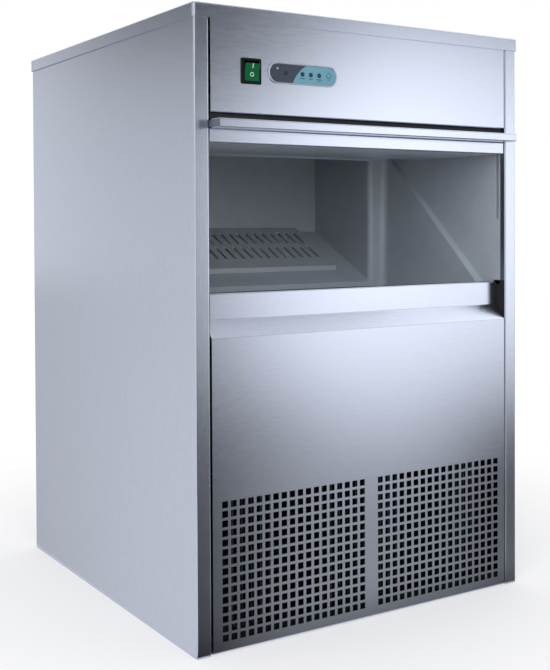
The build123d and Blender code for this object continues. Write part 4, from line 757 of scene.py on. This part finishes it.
def card_material(name, eye, across, ahead, sideways, upwards, corners=()):
    """Emission by direction from an eye: curves over the slopes sideways and upwards, multiplied.

    Each corner is a pair of such curves, whose product is what it takes away.
    """
    material = bpy.data.materials.new(name)
    material.use_nodes = True
    tree = material.node_tree
    tree.nodes.clear()
    place = add_node(tree, "ShaderNodeTexCoord")
    ray = add_node(tree, "ShaderNodeVectorMath", {"operation": "SUBTRACT", 1: eye}, {0: place.outputs["Object"]})
    depth = add_node(tree, "ShaderNodeVectorMath", {"operation": "DOT_PRODUCT", 1: ahead}, {0: ray.outputs[0]})
    slopes = []
    for axis in (across, (0, 0, 1)):
        side = add_node(tree, "ShaderNodeVectorMath", {"operation": "DOT_PRODUCT", 1: axis}, {0: ray.outputs[0]})
        slopes.append(add_node(tree, "ShaderNodeMath", {"operation": "DIVIDE"},
                               {0: side.outputs["Value"], 1: depth.outputs["Value"]}).outputs[0])
    level = add_node(tree, "ShaderNodeMath", {"operation": "MULTIPLY"},
                     {0: curve_of(tree, slopes[0], sideways), 1: curve_of(tree, slopes[1], upwards)})
    for beside, above in corners:
        shade = add_node(tree, "ShaderNodeMath", {"operation": "MULTIPLY"},
                         {0: curve_of(tree, slopes[0], beside), 1: curve_of(tree, slopes[1], above)})
        rest = add_node(tree, "ShaderNodeMath", {"operation": "SUBTRACT", 0: 1.0}, {1: shade.outputs[0]})
        level = add_node(tree, "ShaderNodeMath", {"operation": "MULTIPLY"}, {0: level.outputs[0], 1: rest.outputs[0]})
    glow = add_node(tree, "ShaderNodeEmission", {"Color": (1, 1, 1, 1)}, {"Strength": level.outputs[0]})
    add_node(tree, "ShaderNodeOutputMaterial", None, {"Surface": glow.outputs[0]})
    return material


def make_cards():
    """Cards that only the metal reflects: the studio as its front and its left side mirror it to the camera."""
    low, high = frame_box()
    eye = (CAMERA.x, 2 * low.y - CAMERA.y, CAMERA.z)
    front = card_material("front_card", eye, (1, 0, 0), (0, -1, 0),
                          [(0.15, 0.5), (0.25, 0.25), (0.36, 0.0), (0.46, 0.04), (0.54, 0.24), (0.61, 0.78),
                           (0.74, 1.2), (0.86, 1.07), (0.945, 1.0), (0.98, 0.88), (1.3, 0.7)],
                          [(-0.8, 0.35), (-0.5, 0.12), (-0.45, 0.2), (-0.41, 0.35), (-0.378, 0.37), (-0.337, 0.39),
                           (-0.295, 0.5), (-0.254, 0.71), (-0.212, 1.0), (-0.17, 1.28), (-0.12, 1.5), (0.1, 1.85),
                           (0.167, 1.75), (0.205, 1.7), (0.222, 0.95), (0.3, 0.6), (0.5, 0.5)],
                          (([(0.57, 1.0), (0.62, 0.85), (0.68, 0.5), (0.76, 0.0)],
                            [(-0.35, 0.0), (-0.314, 0.11), (-0.276, 0.3), (-0.238, 0.5), (-0.2, 0.45),
                             (-0.163, 0.11), (-0.12, 0.0)]),
                           ([(0.62, 1.0), (0.69, 0.6), (0.74, 0.15), (0.78, 0.0)],
                            [(0.09, 0.0), (0.13, 0.4), (0.17, 0.8), (0.2, 1.0)]),
                           ([(0.86, 0.0), (0.89, 0.22), (0.93, 0.6), (0.965, 1.0)],
                            [(-0.43, 0.3), (-0.407, 0.48), (-0.385, 0.58), (-0.363, 0.63), (-0.341, 0.7),
                             (-0.319, 0.86), (-0.275, 0.86), (-0.253, 0.7), (-0.231, 0.5), (-0.209, 0.33),
                             (-0.165, 0.14), (-0.12, 0.0), (0.1, 0.0), (0.14, 0.18), (0.2, 0.22)])))
    stage_plane("front_wall", (0.7, -4.2, 0.0), (5.2, 0, 0), (0, 0, 3.6), front, hidden=True)
    stage_plane("front_floor", (-0.6, -4.2, 0.0015), (6.5, 0, 0), (0, 3.9365, 0), front, hidden=True)
    eye = (2 * low.x - CAMERA.x, CAMERA.y, CAMERA.z)
    side = card_material("side_card", eye, (0, 1, 0), (-1, 0, 0),
                         [(0.5, 1.1), (1.87, 1.0), (2.77, 0.76), (4.5, 0.65)],
                         [(-1.2, 0.8), (-0.7, 0.88), (0.0, 0.8), (0.3, 0.54), (0.42, 0.12), (1.5, 0.25)])
    stage_plane("side_wall", (-3.4, -1.0, 0.0), (0, 9.0, 0), (0, 0, 3.6), side, hidden=True)
    stage_plane("side_floor", (-3.4, -1.0, 0.002), (3.147, 0, 0), (0, 9.0, 0), side, hidden=True)
    above = card_material("top_card", (0, 0, 0), (1, 0, 0), (0, 0, 1),
                          [(0.3, 0.65), (0.5, 1.0), (0.95, 1.7), (2.0, 1.7)], [(0.0, 1.0), (2.0, 1.0)])
    stage_plane("top_card", (0.4, -2.2, 2.4), (3.8, 0, 0), (0, 2.2, 0), above, hidden=True)


def frame_box():
    """Box of the cabinet's panels, without the overhanging lid."""
    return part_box("side_panel_left")[0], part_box("side_panel_right")[1]


OPERATORS = (FinishOperator, SwitchMarksOperator, DisplayMarksOperator, ShadeStripOperator, ScrewsOperator,
             RecessShadeSheetOperator, InletThreadOperator, StageOperator)


class IceMachinePanel(bpy.types.Panel):
    """Sizes, colours and pieces of the ice machine"""
    bl_idname = "VIEW3D_PT_ice_machine"
    bl_label = "Ice machine"
    bl_space_type = "VIEW_3D"
    bl_region_type = "UI"
    bl_category = "Ice machine"

    def draw(self, context):
        for group in (context.scene.ice_sizes, context.scene.ice_colours):
            column = self.layout.column(align=True)
            for name in group.__annotations__:
                column.prop(group, name)
        for operator in OPERATORS:
            self.layout.operator(operator.bl_idname)


CLASSES = (IceMachineColours, IceMachineSizes) + OPERATORS + (IceMachinePanel,)


def register():
    for cls in CLASSES:
        bpy.utils.register_class(cls)
    bpy.types.Scene.ice_colours = PointerProperty(type=IceMachineColours)
    bpy.types.Scene.ice_sizes = PointerProperty(type=IceMachineSizes)


def unregister():
    del bpy.types.Scene.ice_sizes
    del bpy.types.Scene.ice_colours
    for cls in reversed(CLASSES):
        bpy.utils.unregister_class(cls)


def main():
    register()
    bpy.ops.ice_machine.finishes()
    bpy.ops.ice_machine.switch_marks()
    bpy.ops.ice_machine.display_marks()
    bpy.ops.ice_machine.door_seal()
    bpy.ops.ice_machine.rear_screws()
    bpy.ops.ice_machine.recess_trim()
    bpy.ops.ice_machine.inlet_thread()
    bpy.ops.ice_machine.stage()


if __name__ == "__main__":
    main()
